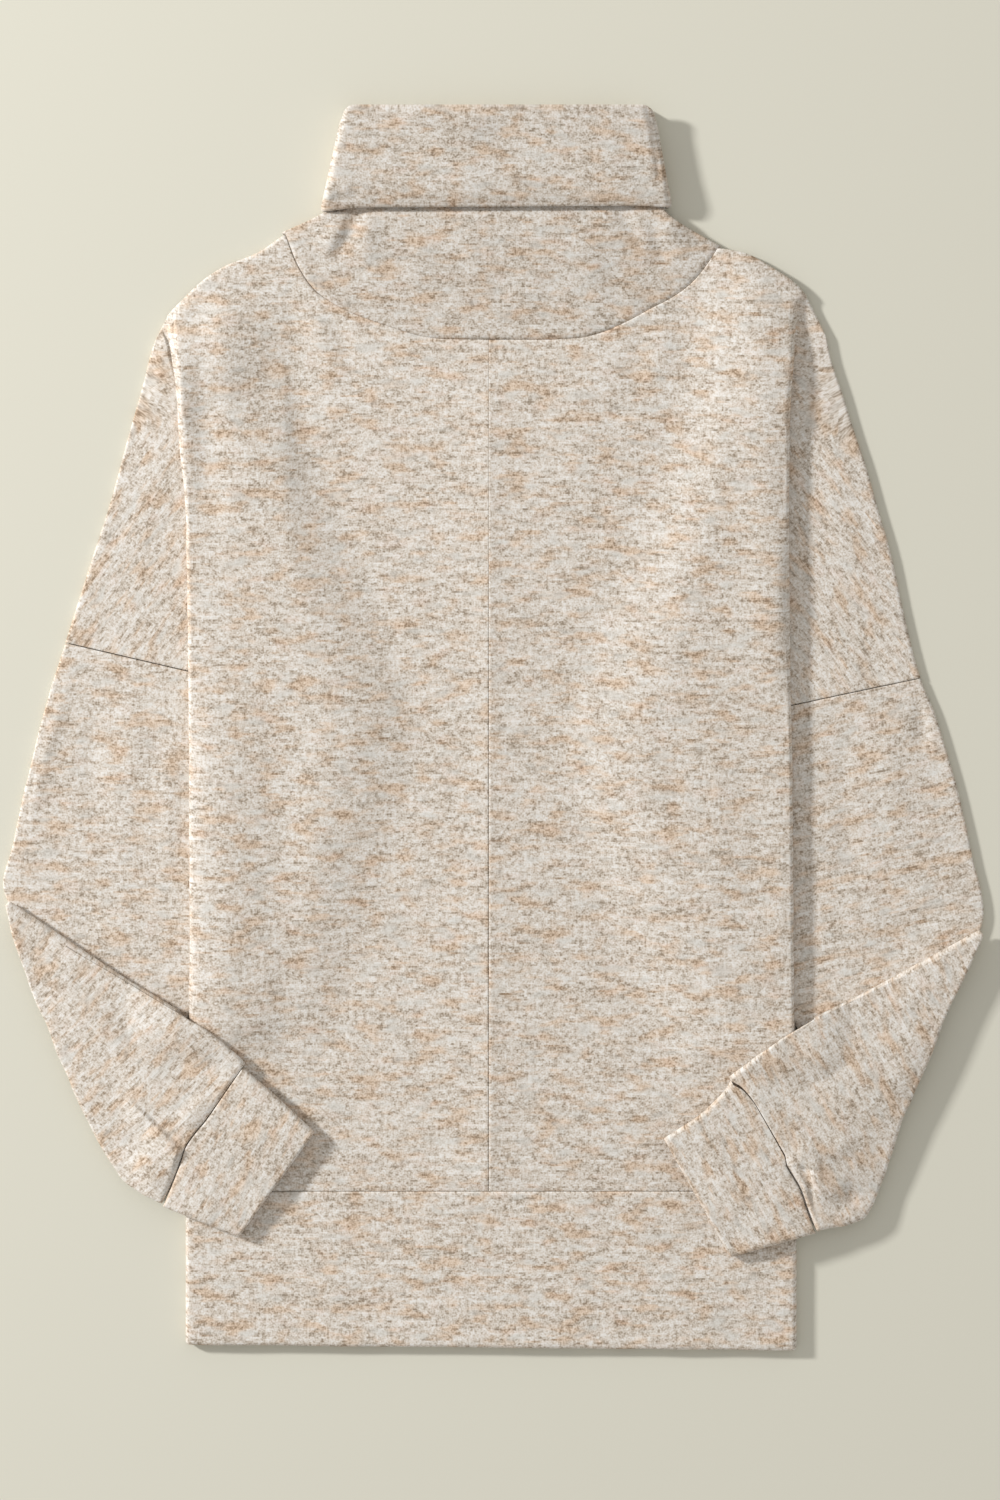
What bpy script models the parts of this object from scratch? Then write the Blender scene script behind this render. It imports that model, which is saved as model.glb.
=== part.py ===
"""A cowl neck top in heathered knit, laid flat with its sides pleated under and its forearms folded forward.

Every piece is a cloth wall. Sizes are in millimetres and are turned into metres when a mesh is made.
X runs across the garment, Y from the hem to the collar, and Z up from the surface it lies on.
"""

import math

import bpy
import numpy as np

MM = 0.001
UP = np.array([0.0, 0.0, 1.0])

# Cloth and layers
WALL = 1.5  # one layer of the knit
AIR = 0.35  # between two layers that lie on each other
HALF = (WALL + AIR) / 2  # from the middle of the doubled garment to each of its layers
SKIN = HALF + WALL / 2  # from the middle of the doubled garment to its outside
STACK = 2 * (WALL + AIR)  # from one doubled level to the next
SEAM = 0.4  # between two pieces at a seam

# Body, measured outwards from the middle seam
MIDDLE = -3.4
HEM_SEAM = -287.4
SIDE_TOP = 243.0  # height at which the side folds and the shoulder ends are read from
SIDE_REACH = 187.0  # distance out at which a row has all of its side's tilt
TOP_EDGE = 186.0  # how far out the body's flat top reaches
PUFF_TOP, PUFF_HEM = 1.5, 2.4  # how far the front stands off the back
FALL = 62.0  # distance in which the front falls from its thick side to its thin middle
ZONE_MARGIN, ZONE_LEAST = 6.0, 12.0  # how far the thick side reaches in from its fold
LOOSE = 0.35  # further apart where the side begins to roll under
NECK_STEPS = [0.0, 0.18, 0.35, 0.48, 0.59, 0.678]
FLAT_STEPS = NECK_STEPS + [0.78, 0.9, 1.0]
ZONE_STEPS = [0.35, 0.7, 1.0]
ROLL_STEPS = 4

# One row of the body for each line: share of the way down, turn of the side fold in degrees,
# radius of that fold, depth of the pleat behind it, height of what lies under it
BODY_ROWS = [
    (0.0, 25, 6.35, 2, 0.0),
    (0.035, 65, 3.0, 1, 0.0),
    (0.065, 105, 2.4, 1, 0.0),
    (0.095, 145, 2.15, 1, 0.0),
    (0.125, 172, 2.0, 5, 0.0),
    (0.155, 180, 1.9, 13, 0.0),
    (0.23, 180, 1.85, 30, 0.0),
    (0.31, 180, 1.85, 48, 0.0),
    (0.39, 180, 1.85, 64, 0.0),
    (0.455, 180, 1.85, 75, 0.0),
    (0.55, 180, 1.85, 66, STACK),
    (0.66, 180, 1.85, 52, STACK),
    (0.75, 180, 1.85, 36, STACK),
    (0.815, 180, 1.85, 24, STACK),
    (0.865, 180, 1.85, 15, 0.0),
    (0.93, 180, 1.85, 8, 0.0),
    (1.0, 180, 1.85, 3, 0.0),
]
ARMHOLE_ROW = 9
BACK_NECK_REACH = 0.2

# Outlines of each side: pairs of distance out from the middle seam and height up the garment
SIDES = {
    "left": {
        "sign": -1,
        "shoulder": [(126.5, 306.6), (144, 294.8), (164, 286.4), (177, 278), (188.5, 267), (200, 253.6),
                     (208, 238), (215, 212), (223, 184), (235, 140), (247, 103), (263, 53)],
        "neck": [(0, 241), (30, 241.5), (68, 251), (107, 270.6), (119, 287.4), (126.5, 306.6)],
        "back_neck": [(0, 292), (60, 294), (100, 299), (126.5, 306.6)],
        "fold_edge": [(-287, 188), (-170, 185.4), (103, 187.3), (129, 189), (157, 191.6), (195, 194),
                      (214, 196.5), (243, 199)],
        "tilt": 0.0,
    },
    "right": {
        "sign": 1,
        "shoulder": [(142, 298), (158, 295), (175, 286), (190, 275.6), (201.5, 260), (208, 248),
                     (212, 230), (220, 206), (227.5, 182), (234, 163), (241, 138), (250, 107),
                     (257, 74), (265, 41), (268, 31)],
        "neck": [(0, 241), (35, 241), (56, 242), (69, 245), (84, 251.4), (100, 260), (115, 268),
                 (126.5, 277), (136, 288.6), (142, 298)],
        "back_neck": [(0, 292), (60, 293), (110, 295), (142, 298)],
        "fold_edge": [(-287, 191), (-145, 189), (-19, 188), (47, 186.6), (131, 186), (176, 186.6),
                      (206, 189), (230, 191), (243, 197)],
        "tilt": 0.05,
    },
}

# Sleeves: absolute X and Y. The outline lists run from the shoulder or elbow towards the cuff.
SLEEVE_STEPS = [0.0, 0.25, 0.5, 0.75, 1.0]
EDGE_STEPS = 3
ELBOW_START, ELBOW_FADE = 4.0, 80.0  # beyond the elbow: where the forearm comes down, and in what length
SIDE_START, SIDE_FADE = 192.0, 60.0  # the same outside the body
FORE_LIFT = 0.5  # how much looser the forearm lies towards its cuff
CUFF_PUFF = 2.1  # from the middle of the sleeve to each layer where it meets the cuff
SLEEVES = {
    "left": {
        "upper_outer": [(-266, 53), (-278, 16), (-291, -36), (-298.5, -71), (-305, -97), (-300, -113)],
        "upper_inner_end": (-204.3, -216),
        "shares": [0.0, 0.2, 0.45, 0.65, 0.85, 1.0],
        "elbow_fold": [(-302.5, -110), (-199, -179)],
        "fore_outer": [(-303, -110), (-299, -125), (-287, -162), (-276, -187), (-264, -217),
                       (-250, -248), (-228, -282), (-207, -294)],
        "fore_inner": [(-197.5, -175), (-194, -177), (-188, -181), (-181, -184.5), (-173, -190),
                       (-166, -195.5), (-160, -201), (-155, -206)],
    },
    "right": {
        "upper_outer": [(264.5, 31), (275.6, 3), (288.6, -43), (297, -79), (304, -114), (300, -131)],
        "upper_inner_end": (205, -226),
        "shares": [0.0, 0.2, 0.45, 0.65, 0.85, 1.0],
        "elbow_fold": [(302.5, -128), (200, -184)],
        "fore_outer": [(303, -128), (299, -137), (290, -156), (280.6, -176), (268, -208),
                       (254, -240), (228, -305), (201, -311)],
        "fore_inner": [(198, -180), (193, -183), (186, -187), (178, -192), (170, -197.5),
                       (162, -203), (154, -209), (146, -215)],
    },
}

# Cuffs: the seam and the opening, each from the lower corner to the upper one
CUFF_WALL, CUFF_AIR = 1.8, 2.4
CUFF_CLEAR = 1.0
CUFF_STEPS = [0.0, 0.33, 0.67, 1.0]
CUFFS = {
    "left": {"seam": [(-205.5, -296), (-155, -208)], "opening": [(-158, -315), (-111, -250)]},
    "right": {"seam": [(199, -312.5), (146, -217)], "opening": [(146, -327.5), (104.5, -254)]},
}

# Hem band
BAND_WALL, BAND_AIR = 2.0, 2.4
BAND_HEIGHT = 2 * BAND_WALL + BAND_AIR
BAND_RISE = (255, 275)  # between which distances below the middle the forearm climbs onto the band
BAND_LEFT, BAND_RIGHT, BAND_BOTTOM = -191.5, 187.5, -384.5

# Cowl: each ring of the stand has a share of the way from the neck seam to the collar, the height
# of its front layer and of its back layer, and how far its sides have drawn in
COWL_WALL = 2.2
COWL_AIR = 1.0
COWL_SLOT = 3.4
BACK_STAND = COWL_WALL * 1.5 + COWL_AIR
FRONT_STAND = BACK_STAND + COWL_WALL + COWL_SLOT
COLLAR_LOW, COLLAR_TOP = 322.0, 385.5
COLLAR_LEFT_LOW, COLLAR_RIGHT_LOW = -105.2, 107.6
COLLAR_LEFT_TOP, COLLAR_RIGHT_TOP = -92.5, 96.4
COLLAR_MIDDLE = 1.45  # share at which the collar has one ring between its edge and its fold
STAND_ROWS = [
    (0.0, 4.1, 1.1, 0.0),
    (0.35, 5.2, 1.1, 0.45),
    (0.7, 8.2, 2.3, 0.85),
    (0.95, FRONT_STAND, BACK_STAND, 1.0),
]
TURN_STEPS = 4


def read(table, value):
    """Linear reading of a table of pairs, held at its ends."""
    firsts, seconds = zip(*table)
    return float(np.interp(value, firsts, seconds))


def ease(value, start=0.0, end=1.0):
    """0 before start, 1 after end, and smooth between them."""
    share = min(max((value - start) / (end - start), 0.0), 1.0)
    return share * share * (3 - 2 * share)


def unit(vector):
    return vector / np.linalg.norm(vector)


def row_height(side, down, out, neck="neck"):
    """Y of a body row at a distance out from the middle."""
    top = read(side["neck"] if out < side["neck"][-1][0] else side["shoulder"], out)
    share = down + side["tilt"] * 4 * down * (1 - down) * min(out / SIDE_REACH, 1.0)
    raised = read(side["back_neck"], out) - read(side["neck"], out) if neck == "back_neck" else 0.0
    return top + (HEM_SEAM - top) * share + raised * (1 - ease(down, 0, BACK_NECK_REACH))


def fold_start(side, row):
    """Distance out at which a row starts to roll under, and the height of its middle surface there."""
    down, turn, radius, depth, under = BODY_ROWS[row]
    angle = math.radians(turn)
    level = SIDE_TOP + (HEM_SEAM - SIDE_TOP) * down
    reach = (radius + SKIN) * math.sin(min(angle, math.pi / 2))
    drop = radius * (1 - math.cos(angle)) + depth * math.sin(angle)
    if row <= ARMHOLE_ROW:
        drop += radius * (1 - math.cos(angle))
    return read(side["fold_edge"], level) - reach, SKIN + under + drop


def flat_zone(side, row):
    """Distance out at which the row's thick side begins."""
    return fold_start(side, row)[0] - max(BODY_ROWS[row][3] + ZONE_MARGIN, ZONE_LEAST)


def front_puff(down, share):
    return (PUFF_TOP + (PUFF_HEM - PUFF_TOP) * down) * (1 - ease(share, 0.55, 1.0))


def body_row(side, row, neck):
    """The row's middle surface, from the middle seam outwards: places, normals and puff of the front."""
    down, turn, radius, depth, _ = BODY_ROWS[row]
    start, high = fold_start(side, row)
    zone = flat_zone(side, row)
    profile = []
    for share in FLAT_STEPS:
        out = zone * share
        fall = ease(zone - out, 0, FALL)
        profile.append((out, high + (SKIN - high) * fall, 0.0, front_puff(down, share)))
    for share in ZONE_STEPS:
        profile.append((zone + (start - zone) * share, high, 0.0, 0.0))
    angle = math.radians(turn)
    for step in range(1, ROLL_STEPS + 1):
        a = angle * step / ROLL_STEPS
        profile.append((start + radius * math.sin(a), high - radius * (1 - math.cos(a)), a, 0.0))
    out, height = profile[-1][:2]
    for along in (depth / 2, depth):
        profile.append((out + along * math.cos(angle), height - along * math.sin(angle), angle, 0.0))
    if row <= ARMHOLE_ROW:
        out, height = profile[-1][:2]
        centre_out, centre_height = out + radius * math.sin(angle), height + radius * math.cos(angle)
        for step in range(ROLL_STEPS - 1, -1, -1):
            a = angle * step / ROLL_STEPS
            place = centre_out - radius * math.sin(a), centre_height - radius * math.cos(a)
            profile.append((*place, a, 0.0))
    loose = LOOSE * math.sin(angle)
    places, normals, puffs = [], [], []
    for out, height, a, puff in profile:
        places.append([MIDDLE + side["sign"] * out, row_height(side, down, out, neck), height])
        normals.append([side["sign"] * math.sin(a), 0.0, math.cos(a)])
        puffs.append(max(puff, loose))
    if row <= ARMHOLE_ROW:
        first = np.array(places[-1])
        tip = shoulder_end(side, row)
        for share in (0.35, 0.7, 1.0):
            place = first + (np.array([tip[0], tip[1], first[2]]) - first) * share
            places.append(list(place))
            normals.append([0.0, 0.0, 1.0])
            puffs.append(loose)
    return np.array(places), np.array(normals), np.array(puffs)


def shoulder_end(side, row):
    """Where a row ends on the shoulder's outline."""
    tip = side["shoulder"][-1][1]
    level = SIDE_TOP + (tip - SIDE_TOP) * BODY_ROWS[row][0] / BODY_ROWS[ARMHOLE_ROW][0]
    falling = [(up, out) for out, up in reversed(side["shoulder"])]
    return MIDDLE + side["sign"] * read(falling, level), level


def body_panel(side, offset, neck, puffed):
    """Grids of the two faces of a body layer, and which cells of the grid are cloth."""
    faces = [[], []]
    widest = len(FLAT_STEPS) + len(ZONE_STEPS) + 2 * ROLL_STEPS + 2 + 3
    for row in range(len(BODY_ROWS)):
        places, normals, puffs = body_row(side, row, neck)
        lift = offset + puffs * puffed
        if puffed:
            places[0][0] += side["sign"] * SEAM / 2
        for face, skin in zip(faces, (WALL / 2, -WALL / 2)):
            points = places + normals * (lift + skin)[:, None]
            spare = widest - len(points)
            face.append(np.vstack([points, np.repeat(points[-1:], spare, axis=0)]) if spare else points)
    narrow = len(FLAT_STEPS) + len(ZONE_STEPS) + ROLL_STEPS + 2
    cells = [
        (row, column)
        for row in range(len(BODY_ROWS) - 1)
        for column in range((widest if row < ARMHOLE_ROW else narrow) - 1)
    ]
    return np.array(faces[0]), np.array(faces[1]), cells


def rest_height(x, y):
    """Height of the body's or hem band's top face under a point."""
    side = SIDES["left" if x < MIDDLE else "right"]
    out = min(abs(x - MIDDLE), TOP_EDGE)
    top = row_height(side, 0.0, out)
    share = min((top - y) / (top - HEM_SEAM), 1.0)
    down = share
    for _ in range(6):
        down = share - side["tilt"] * 4 * down * (1 - down) * min(out / SIDE_REACH, 1.0)
    downs = [row[0] for row in BODY_ROWS]
    rows = range(len(BODY_ROWS))
    zone = np.interp(down, downs, [flat_zone(side, row) for row in rows])
    high = np.interp(down, downs, [fold_start(side, row)[1] for row in rows])
    height = high + (SKIN - high) * ease(zone - out, 0, FALL)
    body = height + SKIN + front_puff(down, out / zone)
    return max(body, BAND_HEIGHT * ease(-y, *BAND_RISE))


def elbow_distance(sleeve, x, y):
    """How far a point is beyond the sleeve's lower fold."""
    start, end = np.array(sleeve["upper_outer"][-1]), np.array(sleeve["upper_inner_end"])
    run = unit(end - start)
    away = np.array([run[1], -run[0]]) if end[0] > start[0] else np.array([-run[1], run[0]])
    return float(np.dot(np.array([x, y]) - start, away))


def under_sleeve(name, x, y):
    """Height of whatever lies under the forearm at a point."""
    beyond = elbow_distance(SLEEVES[name], x, y)
    elbow = (SKIN * 2 + STACK) * (1 - ease(beyond, ELBOW_START, ELBOW_START + ELBOW_FADE))
    out = abs(x - MIDDLE)
    body = rest_height(x, y) * (1 - ease(out, SIDE_START, SIDE_START + SIDE_FADE))
    return max(elbow, body)


def lines_in(first, last, steps):
    return [np.array(first) + (np.array(last) - np.array(first)) * share for share in steps]


def sleeve_rows(name):
    """Rows of the sleeve's middle surface from armhole to cuff: places, normals and half depth."""
    side, sleeve = SIDES[name], SLEEVES[name]
    armhole_places = body_row(side, ARMHOLE_ROW, "neck")[0]
    inner_start = armhole_places[-4][:2] - np.array([0, SEAM])
    rows = []
    outers = [np.array(point, float) for point in sleeve["upper_outer"]]
    outers[0] = armhole_places[-1][:2] - np.array([0, SEAM])
    inner_end = np.array(sleeve["upper_inner_end"], float)
    for outer, share in zip(outers, sleeve["shares"]):
        inner = inner_start + (inner_end - inner_start) * share
        plan = lines_in(outer, inner, SLEEVE_STEPS)
        rows.append(([np.append(point, SKIN) for point in plan], [UP] * len(plan), HALF))

    lower = lines_in(outers[-1], inner_end, SLEEVE_STEPS)
    upper = lines_in(*sleeve["elbow_fold"], SLEEVE_STEPS)
    sign = side["sign"]
    for line, lows, facing in ((lower, SKIN, 1), (upper, SKIN + STACK, -1)):
        run = unit(line[-1] - line[0])
        away = np.array([-run[1], run[0]]) * sign * facing
        for step in range(1, ROLL_STEPS + 1):
            a = math.pi * step / ROLL_STEPS
            places, normals = [], []
            for point in line:
                high = SKIN + STACK
                if facing < 0:
                    high = under_sleeve(name, *point) + AIR + SKIN
                radius = (high - lows) / 2
                spot = point + away * radius * math.sin(a)
                places.append(np.append(spot, lows + radius * (1 - math.cos(a))))
                tilt = np.append(-away * math.sin(a), math.cos(a))
                normals.append(tilt * facing)
            rows.append((places, normals, HALF))
        if facing > 0:
            rows.append(([np.append(point, SKIN + STACK) for point in upper], [-UP] * len(upper), HALF))

    count = len(sleeve["fore_outer"])
    for index in range(1, count):
        share = index / (count - 1)
        half = HALF + (CUFF_PUFF - HALF) * ease(share, 0.3, 1.0)
        plan = lines_in(sleeve["fore_outer"][index], sleeve["fore_inner"][index], SLEEVE_STEPS)
        above = AIR + FORE_LIFT * ease(share, 0, 0.4) + half + WALL / 2
        places = [np.append(point, under_sleeve(name, *point) + above) for point in plan]
        rows.append((places, [UP] * len(plan), half))
    return rows


def flat_tube(rows, wall):
    """Outer and inner rings of a flattened tube, round at both edges."""
    faces = [[], []]
    for places, normals, half in rows:
        for face, skin in zip(faces, (wall / 2, -wall / 2)):
            reach = half + skin
            first_out = unit(np.append((places[0] - places[-1])[:2], 0.0))
            inset = half + wall / 2
            spots = [np.array(place, float) for place in places]
            spots[0] = spots[0] - first_out * inset
            spots[-1] = spots[-1] + first_out * inset
            ring = [spot + normal * reach for spot, normal in zip(spots, normals)]
            for step in range(1, EDGE_STEPS):
                a = math.pi * step / EDGE_STEPS
                ring.append(spots[-1] + reach * (math.cos(a) * normals[-1] - math.sin(a) * first_out))
            ring += [spot - normal * reach for spot, normal in zip(reversed(spots), reversed(normals))]
            for step in range(EDGE_STEPS - 1, 0, -1):
                a = math.pi * step / EDGE_STEPS
                ring.append(spots[0] + reach * (math.cos(a) * normals[0] + math.sin(a) * first_out))
            face.append(ring)
    return np.array(faces[0]), np.array(faces[1])


def cuff_rows(name):
    """Rows of a cuff's middle surface, from its seam to its opening."""
    cuff = CUFFS[name]
    half = (CUFF_WALL + CUFF_AIR) / 2
    away = unit(np.mean(cuff["opening"], axis=0) - np.mean(cuff["seam"], axis=0))
    seam = [np.array(point) + away * SEAM for point in cuff["seam"]]
    rows = []
    for share in CUFF_STEPS:
        lower = seam[0] + (np.array(cuff["opening"][0]) - seam[0]) * share
        upper = seam[1] + (np.array(cuff["opening"][1]) - seam[1]) * share
        plan = lines_in(lower, upper, SLEEVE_STEPS)
        places = [
            np.append(point, under_sleeve(name, *point) + CUFF_CLEAR + half + CUFF_WALL / 2) for point in plan
        ]
        rows.append((places, [UP] * len(plan), half))
    return rows


def band_rows():
    """Rows of the hem band, from the hem seam down."""
    half = (BAND_WALL + BAND_AIR) / 2
    rows = []
    for level in lines_in((HEM_SEAM - SEAM,), (BAND_BOTTOM,), (0.0, 0.33, 0.67, 1.0)):
        places = [
            np.array([BAND_LEFT + (BAND_RIGHT - BAND_LEFT) * share, level[0], half + BAND_WALL / 2])
            for share in (0.0, 0.12, 0.25, 0.375, 0.5, 0.625, 0.75, 0.88, 1.0)
        ]
        rows.append((places, [UP] * len(places), half))
    return rows


def cowl_ring_plan(share, drawn):
    """Front and back points of a ring of the stand, from left to right."""
    left_neck, right_neck = SIDES["left"]["neck"][-1], SIDES["right"]["neck"][-1]
    far = NECK_STEPS[-1]
    outs = [-step / far * left_neck[0] for step in reversed(NECK_STEPS)]
    outs += [step / far * right_neck[0] for step in NECK_STEPS[1:]]
    stand_inset = COWL_WALL * 1.5 + COWL_AIR
    low = (COLLAR_LEFT_LOW + stand_inset, COLLAR_RIGHT_LOW - stand_inset)
    high = (COLLAR_LEFT_TOP + stand_inset, COLLAR_RIGHT_TOP - stand_inset)
    climb = max(share - 1, 0.0)
    ends = [a + (b - a) * climb for a, b in zip(low, high)]
    front, back = [], []
    for out in outs:
        side = SIDES["left" if out < 0 else "right"]
        edge = (left_neck if out < 0 else right_neck)[0]
        x_low = MIDDLE + out
        x_high = ends[0] + (ends[1] - ends[0]) * (out + left_neck[0]) / (left_neck[0] + right_neck[0])
        x = x_low + (x_high - x_low) * drawn
        for line, neck in ((front, "neck"), (back, "back_neck")):
            start = read(side[neck], abs(out) if abs(out) < edge else edge) + 2 * SEAM
            y = start + (COLLAR_LOW - start) * min(share, 1.0)
            line.append((x, y + (COLLAR_TOP - COLLAR_LOW) * climb))
    return front, back


def cowl_ring(front, back, front_z, back_z):
    """Places and outward normals of a closed ring that runs along the front and back along the back."""
    places, normals = [], []
    radius = (front_z - back_z) / 2
    middle = (front_z + back_z) / 2
    for x, y in front:
        places.append((x, y, front_z))
        normals.append((0, 0, 1))
    for step in range(1, EDGE_STEPS):
        a = math.pi * step / EDGE_STEPS
        x, y = front[-1]
        places.append((x + radius * math.sin(a), y, middle + radius * math.cos(a)))
        normals.append((math.sin(a), 0, math.cos(a)))
    for x, y in reversed(back):
        places.append((x, y, back_z))
        normals.append((0, 0, -1))
    for step in range(1, EDGE_STEPS):
        a = math.pi * step / EDGE_STEPS
        x, y = front[0]
        places.append((x - radius * math.sin(a), y, middle - radius * math.cos(a)))
        normals.append((-math.sin(a), 0, -math.cos(a)))
    return np.array(places, float), np.array(normals, float)


def cowl_faces():
    """Rings of the two faces of the cowl: up the stand, over the top fold and down the collar."""
    turn = (COWL_WALL + COWL_AIR) / 2
    fold_line = COLLAR_TOP - turn - COWL_WALL / 2
    top_share = 1 + (fold_line - COLLAR_LOW) / (COLLAR_TOP - COLLAR_LOW)
    profile = [(*row, 0.0) for row in STAND_ROWS]
    stand = (FRONT_STAND, BACK_STAND, 1.0)
    profile.append((COLLAR_MIDDLE, *stand, 0.0))
    for step in range(TURN_STEPS + 1):
        profile.append((top_share, *stand, math.pi * step / TURN_STEPS))
    profile.append((COLLAR_MIDDLE, *stand, math.pi))
    profile.append((1.0, *stand, math.pi))
    outward_face, inward_face = [], []
    for share, front_z, back_z, drawn, a in profile:
        places, normals = cowl_ring(*cowl_ring_plan(share, drawn), front_z, back_z)
        lift, rise = turn * (1 - math.cos(a)), turn * math.sin(a)
        middle = places + normals * lift + np.array([0, rise, 0])
        facing = normals * math.cos(a) + np.array([0, -math.sin(a), 0])
        outward_face.append(middle + facing * COWL_WALL / 2)
        inward_face.append(middle - facing * COWL_WALL / 2)
    return np.array(outward_face), np.array(inward_face)


def wall_triangles(rows, columns, cells, closed):
    """Triangles of a wall between two grids of points: both faces, and the rims that join them."""
    under = rows * columns
    triangles = []
    for row, column in cells:
        beside = (column + 1) % columns if closed else column + 1
        a, b = row * columns + column, (row + 1) * columns + column
        c, d = (row + 1) * columns + beside, row * columns + beside
        triangles += [(a, b, c), (a, c, d)]
    edges = {(t[i], t[(i + 1) % 3]) for t in triangles for i in range(3)}
    rims = [(start, end) for start, end in edges if (end, start) not in edges]
    triangles += [(a + under, c + under, b + under) for a, b, c in triangles]
    for start, end in sorted(rims):
        triangles += [(end, start, start + under), (end, start + under, end + under)]
    return triangles


def volume(points, triangles):
    corners = points[np.array(triangles)]
    return float(np.einsum("ij,ij->i", corners[:, 0], np.cross(corners[:, 1], corners[:, 2])).sum())


def wall_piece(face, back_face, cells=None, closed=False):
    """Points and triangles of one cloth wall, facing out."""
    rows, columns = face.shape[:2]
    if cells is None:
        across = range(columns if closed else columns - 1)
        cells = [(row, column) for row in range(rows - 1) for column in across]
    points = np.vstack([face.reshape(-1, 3), back_face.reshape(-1, 3)])
    triangles = wall_triangles(rows, columns, cells, closed)
    if volume(points, triangles) < 0:
        triangles = [(a, c, b) for a, b, c in triangles]
    used = sorted({corner for triangle in triangles for corner in triangle})
    renumbered = {old: new for new, old in enumerate(used)}
    return points[used], [tuple(renumbered[corner] for corner in triangle) for triangle in triangles]


def knit_material(name, colour):
    material = bpy.data.materials.new(name)
    material.use_nodes = True
    shader = material.node_tree.nodes["Principled BSDF"]
    shader.inputs["Base Color"].default_value = (*colour, 1)
    shader.inputs["Roughness"].default_value = 0.95
    shader.inputs["Metallic"].default_value = 0.0
    material.diffuse_color = (*colour, 1)
    return material


def make_object(name, piece, shift, material, collection):
    points, triangles = piece
    mesh = bpy.data.meshes.new(name)
    mesh.from_pydata(((points + shift) * MM).tolist(), [], triangles)
    mesh.materials.append(material)
    mesh.shade_smooth()
    mesh.set_sharp_from_angle(angle=math.radians(50))
    collection.objects.link(bpy.data.objects.new(name, mesh))


def garment_pieces():
    pieces = {}
    panels = {name: body_panel(side, HALF, "neck", 1) for name, side in SIDES.items()}
    for name, (face, back_face, cells) in panels.items():
        pieces[f"front_{name}"] = wall_piece(face, back_face, cells)

    left, right = (body_panel(SIDES[name], -HALF, "back_neck", 0) for name in ("left", "right"))
    width = left[0].shape[1]
    faces = [np.concatenate([a[:, :0:-1], b], axis=1) for a, b in zip(left[:2], right[:2])]
    cells = [(row, width - 2 - column) for row, column in left[2]]
    cells += [(row, width - 1 + column) for row, column in right[2]]
    pieces["back"] = wall_piece(*faces, cells)

    for name in SIDES:
        pieces[f"sleeve_{name}"] = wall_piece(*flat_tube(sleeve_rows(name), WALL), closed=True)
        pieces[f"cuff_{name}"] = wall_piece(*flat_tube(cuff_rows(name), CUFF_WALL), closed=True)
    pieces["hem_band"] = wall_piece(*flat_tube(band_rows(), BAND_WALL), closed=True)
    pieces["cowl"] = wall_piece(*cowl_faces(), closed=True)
    return pieces


def main():
    for old in list(bpy.data.objects):
        bpy.data.objects.remove(old, do_unlink=True)
    collection = bpy.data.collections.new("cowl_neck_top")
    bpy.context.scene.collection.children.link(collection)
    body_knit = knit_material("heathered_knit", (0.56, 0.50, 0.43))
    doubled_knit = knit_material("doubled_knit", (0.58, 0.52, 0.45))

    pieces = garment_pieces()
    lows = np.min([points.min(axis=0) for points, _ in pieces.values()], axis=0)
    highs = np.max([points.max(axis=0) for points, _ in pieces.values()], axis=0)
    shift = -(lows + highs) / 2
    shift[2] = -lows[2]
    doubled = ("cowl", "hem_band", "cuff_left", "cuff_right")
    for name, piece in pieces.items():
        make_object(name, piece, shift, doubled_knit if name in doubled else body_knit, collection)


main()
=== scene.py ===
"""A cowl neck top in a heathered oatmeal knit, laid flat with its forearms folded forward over its front."""

import math

import bpy
import numpy as np
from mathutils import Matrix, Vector, noise


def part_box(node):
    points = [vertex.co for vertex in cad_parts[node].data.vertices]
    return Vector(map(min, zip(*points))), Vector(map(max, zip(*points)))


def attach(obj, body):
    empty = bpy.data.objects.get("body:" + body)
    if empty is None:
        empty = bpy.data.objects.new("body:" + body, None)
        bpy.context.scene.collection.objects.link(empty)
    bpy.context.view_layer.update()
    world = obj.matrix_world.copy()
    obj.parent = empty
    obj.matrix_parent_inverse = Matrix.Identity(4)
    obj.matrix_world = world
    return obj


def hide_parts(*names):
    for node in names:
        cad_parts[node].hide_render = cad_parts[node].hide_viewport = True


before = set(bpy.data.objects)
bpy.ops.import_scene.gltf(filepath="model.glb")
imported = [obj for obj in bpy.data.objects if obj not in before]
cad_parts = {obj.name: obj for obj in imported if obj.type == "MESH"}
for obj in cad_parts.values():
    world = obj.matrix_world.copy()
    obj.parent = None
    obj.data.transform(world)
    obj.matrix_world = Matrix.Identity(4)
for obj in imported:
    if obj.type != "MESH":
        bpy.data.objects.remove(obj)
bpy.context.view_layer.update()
bpy.ops.object.select_all(action="DESELECT")


# Fronts
# The two halves of the front are cut in one with their dropped shoulders, from one layer of brushed knit.
# They are sewn down the middle. Each side is pleated under, so its shoulder comes out from below the body.

# One layer of knit and the air between two, in millimetres, and what follows from them for a pair
wall = 1.5
air = 0.35
half_pair = (wall + air) / 2
skin = half_pair + wall / 2
stack = 2 * (wall + air)
cloth_shown = 1.1

# Where the seams lie. The armhole is a share of the way from the neck, 0, down to the hem seam, 1
middle_seam = -3.4
hem_seam = -287.4
neck_level = 243.0
armhole = 0.455
half_width = 187
seam_gap = 0.4
front_gap = 0.02

# On a shoulder the courses turn until this share of the way down, about this far out
turned_by = 0.16
shoulder_middle = 200

# How full the front lies, how far in it falls towards its sides, and how loose it is in the pleat
puff_top, puff_hem = 1.5, 2.4
fall = 62.0
loose = 0.35

# How round the cloth's edge is where it goes into each seam, and on the sharp side of a tuck
middle_round, neck_round, armhole_round, hem_round = 1.3, 1.8, 1.5, 1.7
tuck_round = 1.1

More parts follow.
